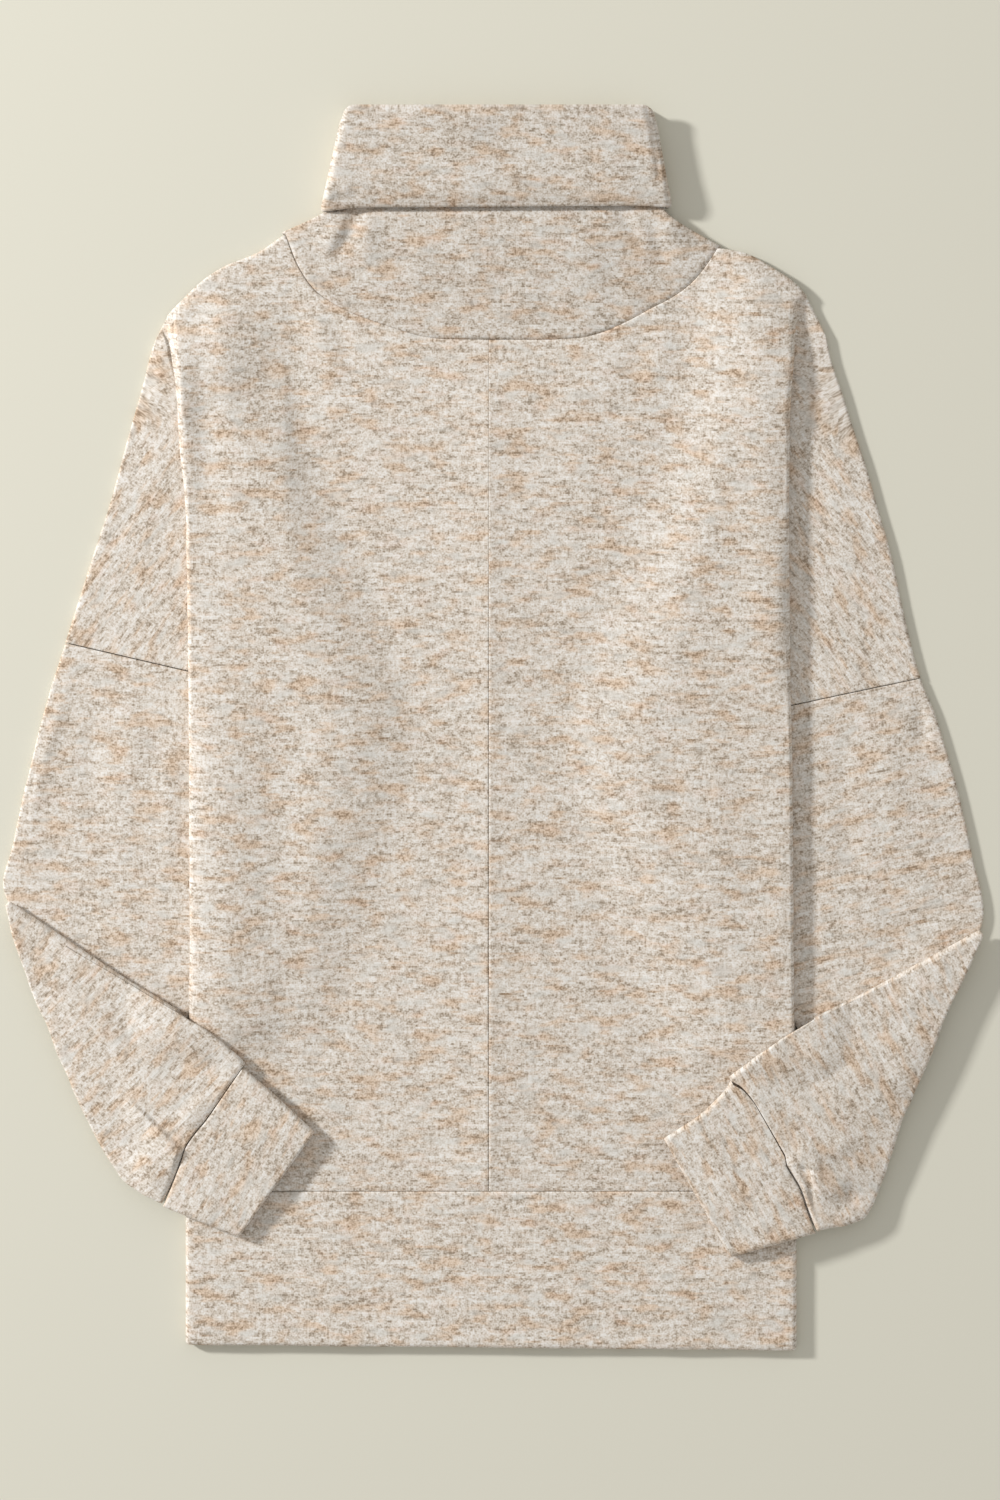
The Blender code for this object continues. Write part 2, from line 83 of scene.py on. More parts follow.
# Columns of the side fold's table, after the share of the way down: its turn in degrees, its radius,
# the depth of the pleat, and what lies below it
fold_turn, fold_radius, fold_depth, fold_under = 1, 2, 3, 4
side_fold = [
    (0.0, 25, 6.35, 2, 0.0),
    (0.035, 65, 3.0, 1, 0.0),
    (0.065, 105, 2.4, 1, 0.0),
    (0.095, 145, 2.15, 1, 0.0),
    (0.125, 172, 2.0, 5, 0.0),
    (0.155, 180, 1.9, 13, 0.0),
    (0.23, 180, 1.85, 30, 0.0),
    (0.31, 180, 1.85, 48, 0.0),
    (0.39, 180, 1.85, 64, 0.0),
    (0.455, 180, 1.85, 75, 0.0),
    (0.456, 180, 1.85, 75, stack),
    (0.55, 180, 1.85, 66, stack),
    (0.66, 180, 1.85, 52, stack),
    (0.75, 180, 1.85, 36, stack),
    (0.815, 180, 1.85, 24, stack),
    (0.865, 180, 1.85, 15, 0.0),
    (0.93, 180, 1.85, 8, 0.0),
    (1.0, 180, 1.85, 3, 0.0),
]

# Outlines as pairs: distance out from the middle seam, and height up the garment
sides = {
    "left": {
        "sign": -1,
        "shoulder": [(126.5, 306.6), (144, 294.8), (164, 286.4), (177, 278), (188.5, 267), (200, 253.6),
                     (208, 238), (215, 212), (223, 184), (235, 140), (247, 103), (263, 53)],
        "neck": [(0, 241), (30, 241.5), (68, 251), (107, 270.6), (119, 287.4), (126.5, 306.6)],
        "back_neck": [(0, 292), (60, 294), (100, 299), (126.5, 306.6)],
        "fold_edge": [(-287, 188), (-170, 185.4), (103, 187.3), (129, 189), (157, 191.6), (195, 194),
                      (214, 196.5), (243, 199)],
        "tilt": 0.0,
        "soft_edge": 0.6,
        "shoulder_grain": 54,
    },
    "right": {
        "sign": 1,
        "shoulder": [(142, 298), (158, 295), (175, 286), (190, 275.6), (201.5, 260), (208, 248),
                     (212, 230), (220, 206), (227.5, 182), (234, 163), (241, 138), (250, 107),
                     (257, 74), (265, 41), (268, 31)],
        "neck": [(0, 241), (35, 241), (56, 242), (69, 245), (84, 251.4), (100, 260), (115, 268),
                 (126.5, 277), (136, 288.6), (142, 298)],
        "back_neck": [(0, 292), (60, 293), (110, 295), (142, 298)],
        "fold_edge": [(-287, 191), (-145, 189), (-19, 188), (47, 186.6), (131, 186), (176, 186.6),
                      (206, 189), (230, 191), (243, 197)],
        "tilt": 0.05,
        "soft_edge": 0.2,
        "shoulder_grain": -54,
    },
}

# Creases of the fronts: the line each follows, how wide and how high it is, and how it ends, where it
# doesn't fade at both ends
front_creases = [
    ([(-3.4, 240), (-3.4, -292)], 21, 1.6, "ridge"),
    ([(-183, 300), (-182, 250), (-180, 200), (-177, 150), (-175, 96)], 10, -1.7),
    ([(-208, 320), (-206, 260), (-203, 200), (-200, 130)], 24, 1.4),
    ([(-169, 60), (-167, -60), (-168, -160), (-172, -262)], 15, 1.6),
    ([(-132, 60), (-129, -60), (-131, -160), (-137, -262)], 14, -1.0),
    ([(137, 6), (134, -60), (138, -140)], 12, 0.7),
    ([(159, 6), (157, -60), (161, -140)], 10, -0.6),
    ([(168, 256), (166, 180), (169, 80), (172, 0)], 13, 1.3),
    ([(184, 200), (182, 150), (184, 90)], 7, -0.6),
    ([(150, 288), (166, 266), (180, 238)], 11, 0.7),
    ([(-118, 262), (-104, 236), (-98, 205)], 7, 0.6),
    ([(-104, 262), (-92, 238), (-86, 214)], 6, -0.5),
    ([(112, 262), (104, 238), (100, 206)], 8, 0.6),
    ([(96, 250), (88, 226), (86, 196)], 7, -0.5),
    ([(58, 236), (52, 190), (56, 130)], 16, 0.6),
    ([(-70, 190), (-70, 168)], 7, 0.45),
    ([(-108, 190), (-108, 168)], 8, 0.45),
    ([(-150, -190), (-120, -225), (-96, -252)], 14, 0.6),
    ([(146, -196), (110, -226), (84, -250)], 14, 0.6),
    ([(-120, -40), (-60, -60), (-10, -66)], 16, 0.3),
    ([(40, -150), (90, -166), (140, -170)], 14, -0.3),
    ([(60, 80), (110, 60), (160, 20)], 16, 0.3),
    ([(232, 62), (236, 34), (236, 10)], 5, -0.8),
    ([(-200, 180), (-214, 140), (-226, 96)], 9, 0.5),
    ([(206, 190), (216, 130), (226, 80)], 8, 0.5),
]

# How hard the neck seam pulls the cloth down, along its length
neck_seam_pull = [
    (-127, 1.5), (-108, 1.3), (-98, 0.35), (-42, 0.35), (-30, 1.3), (30, 1.3), (44, 0.8), (142, 1.1),
]


def read(table, values, column=1):
    """Smooth reading of one column of a table by its first, without overshoot and held at its ends."""
    firsts, seconds = (np.array([row[i] for row in table], float) for i in (0, column))
    values = np.asarray(values, float)
    steps = np.diff(firsts)
    slopes = np.diff(seconds) / steps
    tangents = np.concatenate([slopes[:1], np.zeros(len(slopes) - 1), slopes[-1:]])
    for i in range(1, len(slopes)):
        before, after = slopes[i - 1], slopes[i]
        if before * after > 0:
            long, short = 2 * steps[i] + steps[i - 1], steps[i] + 2 * steps[i - 1]
            tangents[i] = (long + short) / (long / before + short / after)
    i = np.clip(np.searchsorted(firsts, values, side="right") - 1, 0, len(steps) - 1)
    t = np.clip((values - firsts[i]) / steps[i], 0.0, 1.0)
    start = (1 + 2 * t) * (1 - t) ** 2 * seconds[i] + t * (1 - t) ** 2 * steps[i] * tangents[i]
    end = t * t * (3 - 2 * t) * seconds[i + 1] + t * t * (t - 1) * steps[i] * tangents[i + 1]
    return start + end


def ease(values, start=0.0, end=1.0):
    """0 before start, 1 after end, and smooth between them."""
    share = np.clip((np.asarray(values, float) - start) / (end - start), 0.0, 1.0)
    return share * share * (3 - 2 * share)


def slant(side, down, out):
    """How much further down a row lies at a distance out, where the cloth hangs aslant."""
    return side["tilt"] * 4 * down * (1 - down) * np.minimum(out / half_width, 1.0)


def body_height(side, down, out, neck="neck"):
    """Height up the garment at a share of the way down and a distance out."""
    edge = side["neck"][-1][0]
    top = np.where(out < edge, read(side["neck"], out), read(side["shoulder"], out))
    height = top + (hem_seam - top) * (down + slant(side, down, out))
    if neck == "back_neck":
        height += (read(side["back_neck"], out) - read(side["neck"], out)) * (1 - ease(down, 0, 0.2))
    return height


def fold_begins(side, down):
    """Distance out where the side begins to roll under, and how high the cloth's middle is there."""
    angle = np.radians(read(side_fold, down, fold_turn))
    radius, depth, under = (read(side_fold, down, column) for column in (fold_radius, fold_depth, fold_under))
    level = neck_level + (hem_seam - neck_level) * down
    reach = (radius + skin) * np.sin(np.minimum(angle, math.pi / 2))
    drop = radius * (1 - np.cos(angle)) + depth * np.sin(angle)
    drop = drop + np.where(down <= armhole, radius * (1 - np.cos(angle)), 0.0)
    return read(side["fold_edge"], level) - reach, skin + under + drop


def thick_side(side, down):
    """Distance out where the pleat below begins to hold the front up."""
    return fold_begins(side, down)[0] - np.maximum(read(side_fold, down, fold_depth) + 6, 12.0)


def front_puff(down, share):
    """How far the front swells above its pair's middle, at a share of the way out to the pleat."""
    return (puff_top + (puff_hem - puff_top) * down) * (1 - ease(share, 0.55, 1.0))


def points_at(x, y, z):
    """Points from their coordinates, where one number may stand for a whole line of them."""
    return np.stack(np.broadcast_arrays(x, y, z), axis=-1)


# Parts of a half body, from the middle seam outwards
flat_part, edge_part, roll_part, pleat_part, turned_back, shoulder_part = range(6)


def body_grid(side, downs, neck):
    """A pair's middle surface from the middle seam outwards: places, normals, puff, each column's part."""
    down = downs[:, None]
    start, high = fold_begins(side, down)
    zone = thick_side(side, down)
    angle = np.radians(read(side_fold, down, fold_turn))
    radius, depth = read(side_fold, down, fold_radius), read(side_fold, down, fold_depth)
    near = np.array([0, 0.25, 0.6, 1.1, 1.8, 2.8])[None]
    rest = np.linspace(0, 1, 64)[None, 1:]
    flat = np.hstack([near + 0 * zone, near[0, -1] + (zone - near[0, -1]) * rest])
    flat_high = high + (skin - high) * ease(zone - flat, 0, fall)
    edge = zone + (start - zone) * np.linspace(0, 1, 9)[None, 1:]

    # the roll under, the straight of the pleat, and the roll back out
    turn = angle * np.linspace(0, 1, 13)[None, 1:]
    roll, roll_high = start + radius * np.sin(turn), high - radius * (1 - np.cos(turn))
    run = np.linspace(0, 1, 8)[None, 1:]
    pleat = roll[:, -1:] + depth * run * np.cos(angle)
    pleat_high = roll_high[:, -1:] - depth * run * np.sin(angle)
    centre, middle = pleat[:, -1:] + radius * np.sin(angle), pleat_high[:, -1:] + radius * np.cos(angle)
    turn_back = angle * np.linspace(1, 0, 13)[None, 1:]
    back, back_high = centre - radius * np.sin(turn_back), middle - radius * np.cos(turn_back)
    parts = [flat, edge, roll, pleat, back]
    out = np.hstack(parts)
    high = np.hstack([flat_high, high + 0 * edge, roll_high, pleat_high, back_high])
    tilt = np.hstack([0 * flat, 0 * edge, turn, angle + 0 * pleat, turn_back])
    puff = np.hstack([front_puff(down, flat / zone), *(0 * part for part in parts[1:])])
    x, height = middle_seam + side["sign"] * out, body_height(side, down, out, neck)

    # the shoulder, from the pleat out to its tip
    level = neck_level + (side["shoulder"][-1][1] - neck_level) * down / armhole
    tip = middle_seam + side["sign"] * read([(up, far) for far, up in reversed(side["shoulder"])], level)
    beyond = np.concatenate([np.linspace(0, 0.9, 26)[1:], [0.94, 0.965, 0.98, 0.9905, 0.996, 1.0]])[None]
    nothing = 0 * beyond + 0 * down
    x = np.hstack([x, x[:, -1:] + (tip - x[:, -1:]) * beyond])
    height = np.hstack([height, height[:, -1:] + (level - height[:, -1:]) * beyond])
    high = np.hstack([high, high[:, -1:] + nothing])
    tilt = np.hstack([tilt, nothing])
    puff = np.maximum(np.hstack([puff, nothing]), loose * np.sin(angle))
    kinds = np.repeat(np.arange(6), [part.shape[1] for part in [*parts, beyond]])
    return points_at(x, height, high), points_at(side["sign"] * np.sin(tilt), 0, np.cos(tilt)), puff, kinds


def line_distance(x, y, line):
    """Distance from a line of points, positive on its left, and the share of the way along it."""
    line = np.array(line, float)
    lengths = np.hypot(*np.diff(line, axis=0).T)
    nearest, share, passed = np.full(np.shape(x), 1e9), np.zeros(np.shape(x)), 0.0
    for start, end, length in zip(line[:-1], line[1:], lengths):
        run = (end - start) / length
        reach = np.clip((x - start[0]) * run[0] + (y - start[1]) * run[1], 0, length)
        away = np.hypot(x - start[0] - run[0] * reach, y - start[1] - run[1] * reach)
        left = np.sign((y - start[1]) * run[0] - (x - start[0]) * run[1])
        nearer = away < np.abs(nearest)
        share = np.where(nearer, (passed + reach) / lengths.sum(), share)
        nearest = np.where(nearer, away * np.where(left < 0, -1, 1), nearest)
        passed += length
    return nearest, share


def crease_height(x, y, creases):
    """Sum of the creases at each point: soft ones that fade at both ends, at the start or at the end,
    ridges that are sharp along their line, and tucks that fall away sharply on the right of it."""
    total = np.zeros(np.shape(x))
    for line, width, height, *ends in creases:
        fading = ends[0] if ends else "both"
        away, share = line_distance(x, y, line)
        power = 1.0 if fading == "ridge" else 2.0
        strength = np.exp(-((np.abs(away) / width) ** power)) * height
        if fading.startswith("tuck"):
            strength = np.where(away < 0, np.exp(-((away / tuck_round) ** 2)) * height, strength)
        if fading == "ridge":
            strength = strength * ease(share, 0, 0.12)
        if fading.endswith(("both", "start")):
            strength = strength * ease(share, 0, 0.35)
        if fading.endswith(("both", "end")):
            strength = strength * (1 - ease(share, 0.65, 1.0))
        total += strength
    return total


def slack(x, y, size, seed):
    """Slow unevenness of cloth that lies loose, between about -1 and 1."""
    values = []
    for a, b in zip(np.ravel(x) / size, np.ravel(y) / size):
        fine = noise.noise(Vector((2.3 * a, 1.7 * b, seed + 7)))
        values.append(noise.noise(Vector((a, b, seed))) + 0.5 * fine)
    return np.array(values).reshape(np.shape(x))


def lip(distance, radius):
    """How far a rounded edge falls at a distance from the edge."""
    inside = np.clip(radius - distance, 0, radius)
    return radius - np.sqrt(radius**2 - inside**2)


def pressed(points, facing, dip):
    """Points let down into the cloth by their dip, square to its surface."""
    return points - facing * dip[..., None]


def walked(points, axis):
    """Distance along the grid's rows or columns from its first line."""
    steps = np.linalg.norm(np.diff(points, axis=axis), axis=-1)
    start = np.zeros_like(np.take(steps, [0], axis=axis))
    return np.concatenate([start, np.cumsum(steps, axis=axis)], axis=axis)


def grain(points, degrees, pivot):
    """Place on the cloth: along its courses, and across them."""
    angle = np.radians(degrees)
    x, y = points[..., 0] - pivot[0], points[..., 1] - pivot[1]
    along = x * np.cos(angle) + y * np.sin(angle)
    across = y * np.cos(angle) - x * np.sin(angle) + 0.35 * points[..., 2]
    return np.stack([along, across], axis=-1)


# All is drawn in millimetres about one point, and carried from there to where the left front's box has
# its middle seam and its hem
front_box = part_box("front_left")
place = np.array([front_box[1].x * 1000 - middle_seam + seam_gap / 2, front_box[0].y * 1000 - hem_seam, 0.0])


def sew(name, points, outward, courses, thickness, closed=False, cloth=None, offset=-1.0):
    """A cloth sheet from a grid of points in millimetres, with its grain as UVs and its thickness."""
    rows, columns = points.shape[:2]
    last = columns if closed else columns - 1
    row, column = np.meshgrid(np.arange(rows - 1), np.arange(last), indexing="ij")
    if cloth is not None:
        kept = cloth[:-1, :-1] & cloth[1:, 1:] & cloth[1:, :-1] & cloth[:-1, 1:]
        row, column = row[kept], column[kept]
    beside = (column + 1) % columns
    here, below = row * columns, (row + 1) * columns
    corners = (here + column, below + column, below + beside, here + beside)
    quads = np.stack(corners, axis=-1).reshape(-1, 4)
    flat = points.reshape(-1, 3)
    across = np.cross(flat[quads[:, 2]] - flat[quads[:, 0]], flat[quads[:, 3]] - flat[quads[:, 1]])
    if (across * outward.reshape(-1, 3)[quads[:, 0]]).sum() < 0:
        quads = quads[:, ::-1]
    used, quads = np.unique(quads, return_inverse=True)
    quads = quads.reshape(-1, 4)
    mesh = bpy.data.meshes.new(name)
    mesh.from_pydata(((flat[used] + place) * 0.001).tolist(), [], quads.tolist())
    mesh.uv_layers.new(name="grain")
    spots = courses.reshape(-1, 2)[used][quads.ravel()] * 0.001
    mesh.uv_layers["grain"].data.foreach_set("uv", spots.ravel())
    mesh.shade_smooth()
    piece = bpy.data.objects.new(name, mesh)
    bpy.context.scene.collection.objects.link(piece)
    bpy.context.view_layer.objects.active = piece
    thicken = piece.modifiers.new("thickness", "SOLIDIFY")
    thicken.thickness = thickness * 0.001
    thicken.offset = offset
    bpy.ops.object.modifier_apply(modifier="thickness")
    return piece


def lay(piece, node, knit):
    """Gives the piece its knit, hangs it on the root, and hides the solid that it stands in for."""
    piece.data.materials.append(knit)
    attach(piece, "root")
    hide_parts(node)


# The knit: warm light beige, mottled along its courses with tan, grey-brown, off-white and cool white yarn
heather = bpy.data.node_groups.new("heathered yarn", "ShaderNodeTree")
heather.interface.new_socket("Grain", in_out="INPUT", socket_type="NodeSocketVector")
for socket in ("Warmth", "Lightness"):
    heather.interface.new_socket(socket, in_out="INPUT", socket_type="NodeSocketFloat").default_value = 1.0
for socket, kind in (("Color", "Color"), ("Height", "Float"), ("Nap", "Float")):
    heather.interface.new_socket(socket, in_out="OUTPUT", socket_type="NodeSocket" + kind)
heather_in = heather.nodes.new("NodeGroupInput")
heather_out = heather.nodes.new("NodeGroupOutput")


def heather_noise(scale, detail, rough, shift, loop=None):
    """Noise over the cloth, as many to the metre along and across the courses as the scale says.
    Where a loop's width and height are given, each loop keeps one value."""
    grain_place = heather_in.outputs["Grain"]
    if loop:
        loops = heather.nodes.new("ShaderNodeVectorMath")
        loops.operation = "SNAP"
        loops.inputs[1].default_value = (*loop, 1)
        heather.links.new(grain_place, loops.inputs[0])
        grain_place = loops.outputs[0]
    mapping = heather.nodes.new("ShaderNodeMapping")
    mapping.inputs["Scale"].default_value = (scale[0], scale[1], 1)
    mapping.inputs["Location"].default_value = (shift, shift * 1.7, shift)
    heather.links.new(grain_place, mapping.inputs["Vector"])
    cloud = heather.nodes.new("ShaderNodeTexNoise")
    cloud.inputs["Scale"].default_value = 1.0
    cloud.inputs["Detail"].default_value = detail
    cloud.inputs["Roughness"].default_value = rough
    heather.links.new(mapping.outputs["Vector"], cloud.inputs["Vector"])
    return cloud.outputs["Fac"]


def heather_range(value, low, high, to_low=0.0, to_high=1.0):
    """Part of a value's range, stretched with soft ends."""
    node = heather.nodes.new("ShaderNodeMapRange")
    node.interpolation_type = "SMOOTHSTEP"
    for socket, number in (("From Min", low), ("From Max", high), ("To Min", to_low), ("To Max", to_high)):
        node.inputs[socket].default_value = number
    heather.links.new(value, node.inputs["Value"])
    return node.outputs["Result"]


def heather_math(operation, *values):
    """One sum on numbers or on other nodes' values."""
    node = heather.nodes.new("ShaderNodeMath")
    node.operation = operation
    for socket, value in zip(node.inputs, values):
        if isinstance(value, (int, float)):
            socket.default_value = value
        else:
            heather.links.new(value, socket)
    return node.outputs[0]


def heather_mix(share, first, second, blend="MIX"):
    """Two colours mixed, or one laid over the other."""
    node = heather.nodes.new("ShaderNodeMix")
    node.data_type = "RGBA"
    node.blend_type = blend
    for socket, value in ((node.inputs[0], share), (node.inputs[6], first), (node.inputs[7], second)):
        if isinstance(value, float):
            socket.default_value = value
        elif isinstance(value, tuple):
            socket.default_value = (*value, 1)
        else:
            heather.links.new(value, socket)
    return node.outputs[2]


patches = heather_noise((26, 70), 1.0, 0.5, 3.0)
streaks = heather_noise((95, 300), 2.0, 0.55, 11.0, (0.0001, 0.00125))
grains = heather_noise((380, 380), 2.0, 0.5, 51.0, (0.0009, 0.00125))
stitches = heather_noise((820, 900), 0.0, 0.5, 71.0)
tan_clouds = heather_noise((52, 110), 2.0, 0.5, 67.0)
tan_lines = heather_noise((66, 330), 1.0, 0.5, 29.0, (0.0001, 0.00125))
cool_clouds = heather_noise((60, 130), 1.0, 0.5, 83.0)
rose_clouds = heather_noise((60, 130), 1.0, 0.5, 97.0)

# Tan yarn shows in soft clouds and, stronger, in single courses
tan_in_lines = heather_range(tan_lines, 0.57, 0.78, 0.0, 0.6)
tan_amount = heather_math("ADD", heather_range(tan_clouds, 0.42, 0.76), tan_in_lines)
tan_amount = heather_math("MULTIPLY", tan_amount, heather_in.outputs["Warmth"])

# Light and dark: patches, streaks and single stitches added together
shade = heather_math("MULTIPLY_ADD", patches, 0.34, 0.37)
for clouds, weight in ((streaks, 1.05), (grains, 1.3), (stitches, 0.75)):
    shade = heather_math("MULTIPLY_ADD", clouds, weight, heather_math("ADD", shade, -weight / 2))
shade = heather_math("MULTIPLY_ADD", tan_amount, -0.08, shade)
ramp = heather.nodes.new("ShaderNodeValToRGB")
ramp.color_ramp.interpolation = "LINEAR"
tones = [
    (0.10, (0.335, 0.27, 0.205)),
    (0.30, (0.52, 0.445, 0.365)),
    (0.50, (0.70, 0.63, 0.55)),
    (0.68, (0.80, 0.745, 0.68)),
    (0.90, (0.89, 0.86, 0.82)),
]
for position, _ in tones[1:-1]:
    ramp.color_ramp.elements.new(position)
for element, (position, colour) in zip(ramp.color_ramp.elements, tones):
    element.position = position
    element.color = (*colour, 1)
heather.links.new(shade, ramp.inputs["Fac"])
tan_share = heather_range(tan_amount, 0.0, 1.1, 0.0, 0.85)
tanned = heather_mix(tan_share, ramp.outputs["Color"], (1.0, 0.85, 0.72), "MULTIPLY")
rosy = heather_mix(heather_range(rose_clouds, 0.54, 0.76, 0.0, 0.5), tanned, (1.0, 0.91, 0.87), "MULTIPLY")
cool_share = heather_range(cool_clouds, 0.54, 0.76, 0.0, 0.55)
mottled = heather_mix(cool_share, rosy, (0.72, 0.71, 0.67))
lightness = heather.nodes.new("ShaderNodeVectorMath")
lightness.operation = "SCALE"
heather.links.new(mottled, lightness.inputs[0])
heather.links.new(heather_in.outputs["Lightness"], lightness.inputs["Scale"])
heather.links.new(lightness.outputs[0], heather_out.inputs["Color"])
height = heather_math("ADD", heather_math("MULTIPLY", grains, 0.7), heather_math("MULTIPLY", streaks, 0.4))
heather.links.new(height, heather_out.inputs["Height"])
heather.links.new(heather_range(grains, 0.3, 0.7, 0.86, 1.0), heather_out.inputs["Nap"])


def knit_material(name, warmth, lightness):
    """A soft brushed knit whose colour, loops and nap come from the heathered yarn."""
    material = bpy.data.materials.new(name)
    material.use_nodes = True
    tree = material.node_tree
    shader = tree.nodes["Principled BSDF"]
    courses = tree.nodes.new("ShaderNodeUVMap")
    courses.uv_map = "grain"
    yarn = tree.nodes.new("ShaderNodeGroup")
    yarn.node_tree = heather
    yarn.inputs["Warmth"].default_value = warmth
    yarn.inputs["Lightness"].default_value = lightness
    bump = tree.nodes.new("ShaderNodeBump")
    bump.inputs["Strength"].default_value = 0.5
    bump.inputs["Distance"].default_value = 0.0005
    tree.links.new(courses.outputs["UV"], yarn.inputs["Grain"])
    tree.links.new(yarn.outputs["Color"], shader.inputs["Base Color"])
    tree.links.new(yarn.outputs["Nap"], shader.inputs["Roughness"])
    tree.links.new(yarn.outputs["Height"], bump.inputs["Height"])
    tree.links.new(bump.outputs["Normal"], shader.inputs["Normal"])
    shader.inputs["Specular IOR Level"].default_value = 0.2
    shader.inputs["Sheen Weight"].default_value = 0.03
    shader.inputs["Sheen Roughness"].default_value = 0.55
    shader.inputs["Sheen Tint"].default_value = (1.0, 0.95, 0.88, 1)
    return material


body_knit = knit_material("brushed_heather_knit", 1.08, 0.965)

# Rows down the body, close together at the neck, at the armhole and at the hem seam
closing = np.array([0.0035, 0.002, 0.001, 0.0004, 0])
body_downs = np.concatenate([
    [0, 0.0004, 0.001, 0.002, 0.0035, 0.0055],
    np.linspace(0.0095, 0.16, 38),
    np.linspace(0.165, armhole - 0.006, 54),
    armhole - closing,
    np.linspace(armhole + 0.005, 0.9935, 96),
    1 - closing,
])


def body_walk(side, places):
    """Distances in plan from the top, the middle seam and the shoulder's tip, and which columns are past
    the neck."""
    from_top, from_middle = (walked(places[..., :2], axis) for axis in (0, 1))
    past_neck = (np.abs(places[0, :, 0] - middle_seam) >= side["neck"][-1][0])[None]
    return from_top, from_middle, from_middle[:, -1:] - from_middle, past_neck


def body_cut(side, downs, kinds, outer):
    """The grain of a half body, and where there is cloth: its shoulder and pleat end at the armhole."""
    turned = ease(downs, 0, turned_by)[:, None] * np.where(kinds >= pleat_part, 1.0, 0.0)[None]
    pivot = (middle_seam + side["sign"] * shoulder_middle, neck_level)
    cloth = (downs <= armhole)[:, None] | (kinds < turned_back)[None]
    return grain(outer, side["shoulder_grain"] * turned, pivot), cloth


for name, side in sides.items():
    places, normals, puff, kinds = body_grid(side, body_downs, "neck")
    places[:, 0, 0] += side["sign"] * front_gap
    thick = half_pair + puff + wall / 2
    outer = places + normals * thick[..., None]
    x, y = places[..., 0], places[..., 1]
    from_top, from_middle, from_tip, past_neck = body_walk(side, places)
    from_hem = from_top[-1:] - from_top
    armhole_line = from_top[body_downs <= armhole][-1:]
    off_armhole = np.where(kinds >= turned_back, lip(np.abs(armhole_line - from_top), armhole_round), 0)

    # the edges go down into their seams, and the shoulder's edge rolls over to the back
    on_shoulder = (kinds == shoulder_part)[None]
    top_edge = np.where(past_neck | on_shoulder, from_top, from_tip)
    dips = [
        lip(np.minimum(top_edge, from_tip), thick),
        (0.12 + 0.42 * ease(from_top, 60, 330)) * lip(from_middle, middle_round),
        np.where(past_neck, 0, read(neck_seam_pull, x) * lip(from_top, neck_round)),
        0.35 * lip(from_hem, hem_round),
        0.45 * off_armhole,
    ]

    # the side fold wavers a little, is squarer than a plain roll, and droops softly along its edge
    in_fold = kinds <= roll_part
    waver = 0.35 * slack(x, y, 30.0, 41.0) * np.abs(normals[..., 0]) * ease(from_hem, 0, 25)
    waver = waver * (in_fold & (kinds > flat_part))
    edge = np.abs(outer[..., 0] - middle_seam)
    edge = np.maximum(np.where(kinds[None] == roll_part, edge, 0).max(axis=1, keepdims=True) - edge, 0)
    soft = side["soft_edge"] * ease(-y, -130, -70) * np.exp(-edge / 8.0)
    squarer = 1.1 * (1 - np.abs(normals[..., 0])) * np.exp(-edge / 7.0)
    outer = pressed(outer, normals, np.max(dips, axis=0) - waver)
    outer[..., 0] += side["sign"] * squarer * in_fold * (normals[..., 2] > -0.01)
    outer[..., 2] -= soft * in_fold * np.maximum(normals[..., 2], 0)

    # creases and slack show where the cloth lies free, away from its seams
    shown = np.where(kinds <= edge_part, 1.0, 0.0)[None] + np.where(on_shoulder, ease(from_tip, 0, 12), 0)
    shown = shown * ease(from_hem, 0, 10) * ease(from_top, 0, 10)
    outer[..., 2] += (crease_height(x, y, front_creases) + 0.14 * slack(x, y / 2, 40.0, 3.0)) * shown
    courses, cloth = body_cut(side, body_downs, kinds, outer)
    piece = sew(f"front_{name}_knit", outer, normals, courses, cloth_shown, cloth=cloth)
    lay(piece, f"front_{name}", body_knit)


# Back
# One piece of the same knit with both dropped shoulders, under the fronts and pleated in with them.
# Its flat lower face is what the top lies on.

back_downs = np.unique(np.append(body_downs[::2], [armhole, 1.0]))
back_halves = []
for side in sides.values():
    places, normals, _, kinds = body_grid(side, back_downs, "back_neck")
    from_top, _, from_tip, past_neck = body_walk(side, places)
    neck_dip = np.where(past_neck, lip(from_top, skin), 0)
    tip_dip = np.where(kinds == shoulder_part, lip(from_tip, skin), 0)
    outer = pressed(places, normals, skin - np.maximum(neck_dip, tip_dip))
    back_halves.append((outer, -normals, *body_cut(side, back_downs, kinds, outer)))
joined = [np.concatenate([left[:, :0:-1], right], axis=1) for left, right in zip(*back_halves)]
back = sew("back_knit", *joined[:3], cloth_shown, cloth=joined[3])
lay(back, "back", body_knit)


# Sleeves
# Each is one tube from the armhole to the cuff. It lies out beside the body, folds at the elbow, and
# its forearm comes back over the front.

# The hem band's wall and the air in it, how high it is, and how full a forearm is at its cuff
band_wall, band_air = 2.0, 2.4
band_high = 2 * band_wall + band_air
cuff_puff = 2.1

# How far a forearm takes to come down from its elbow, and from the body's side
elbow_fade, side_fade = 100.0, 80.0

# How round the edges are at the cuff's seam, and how far from it the cloth bows with it
cuff_round = 1.6
bow_length = 34

# Points across a tube, how many of them one below takes up, and the steps of its turn at each edge
across_count = 97
under_step = 4
edge_steps = 10
upward = np.array([0.0, 0.0, 1.0])

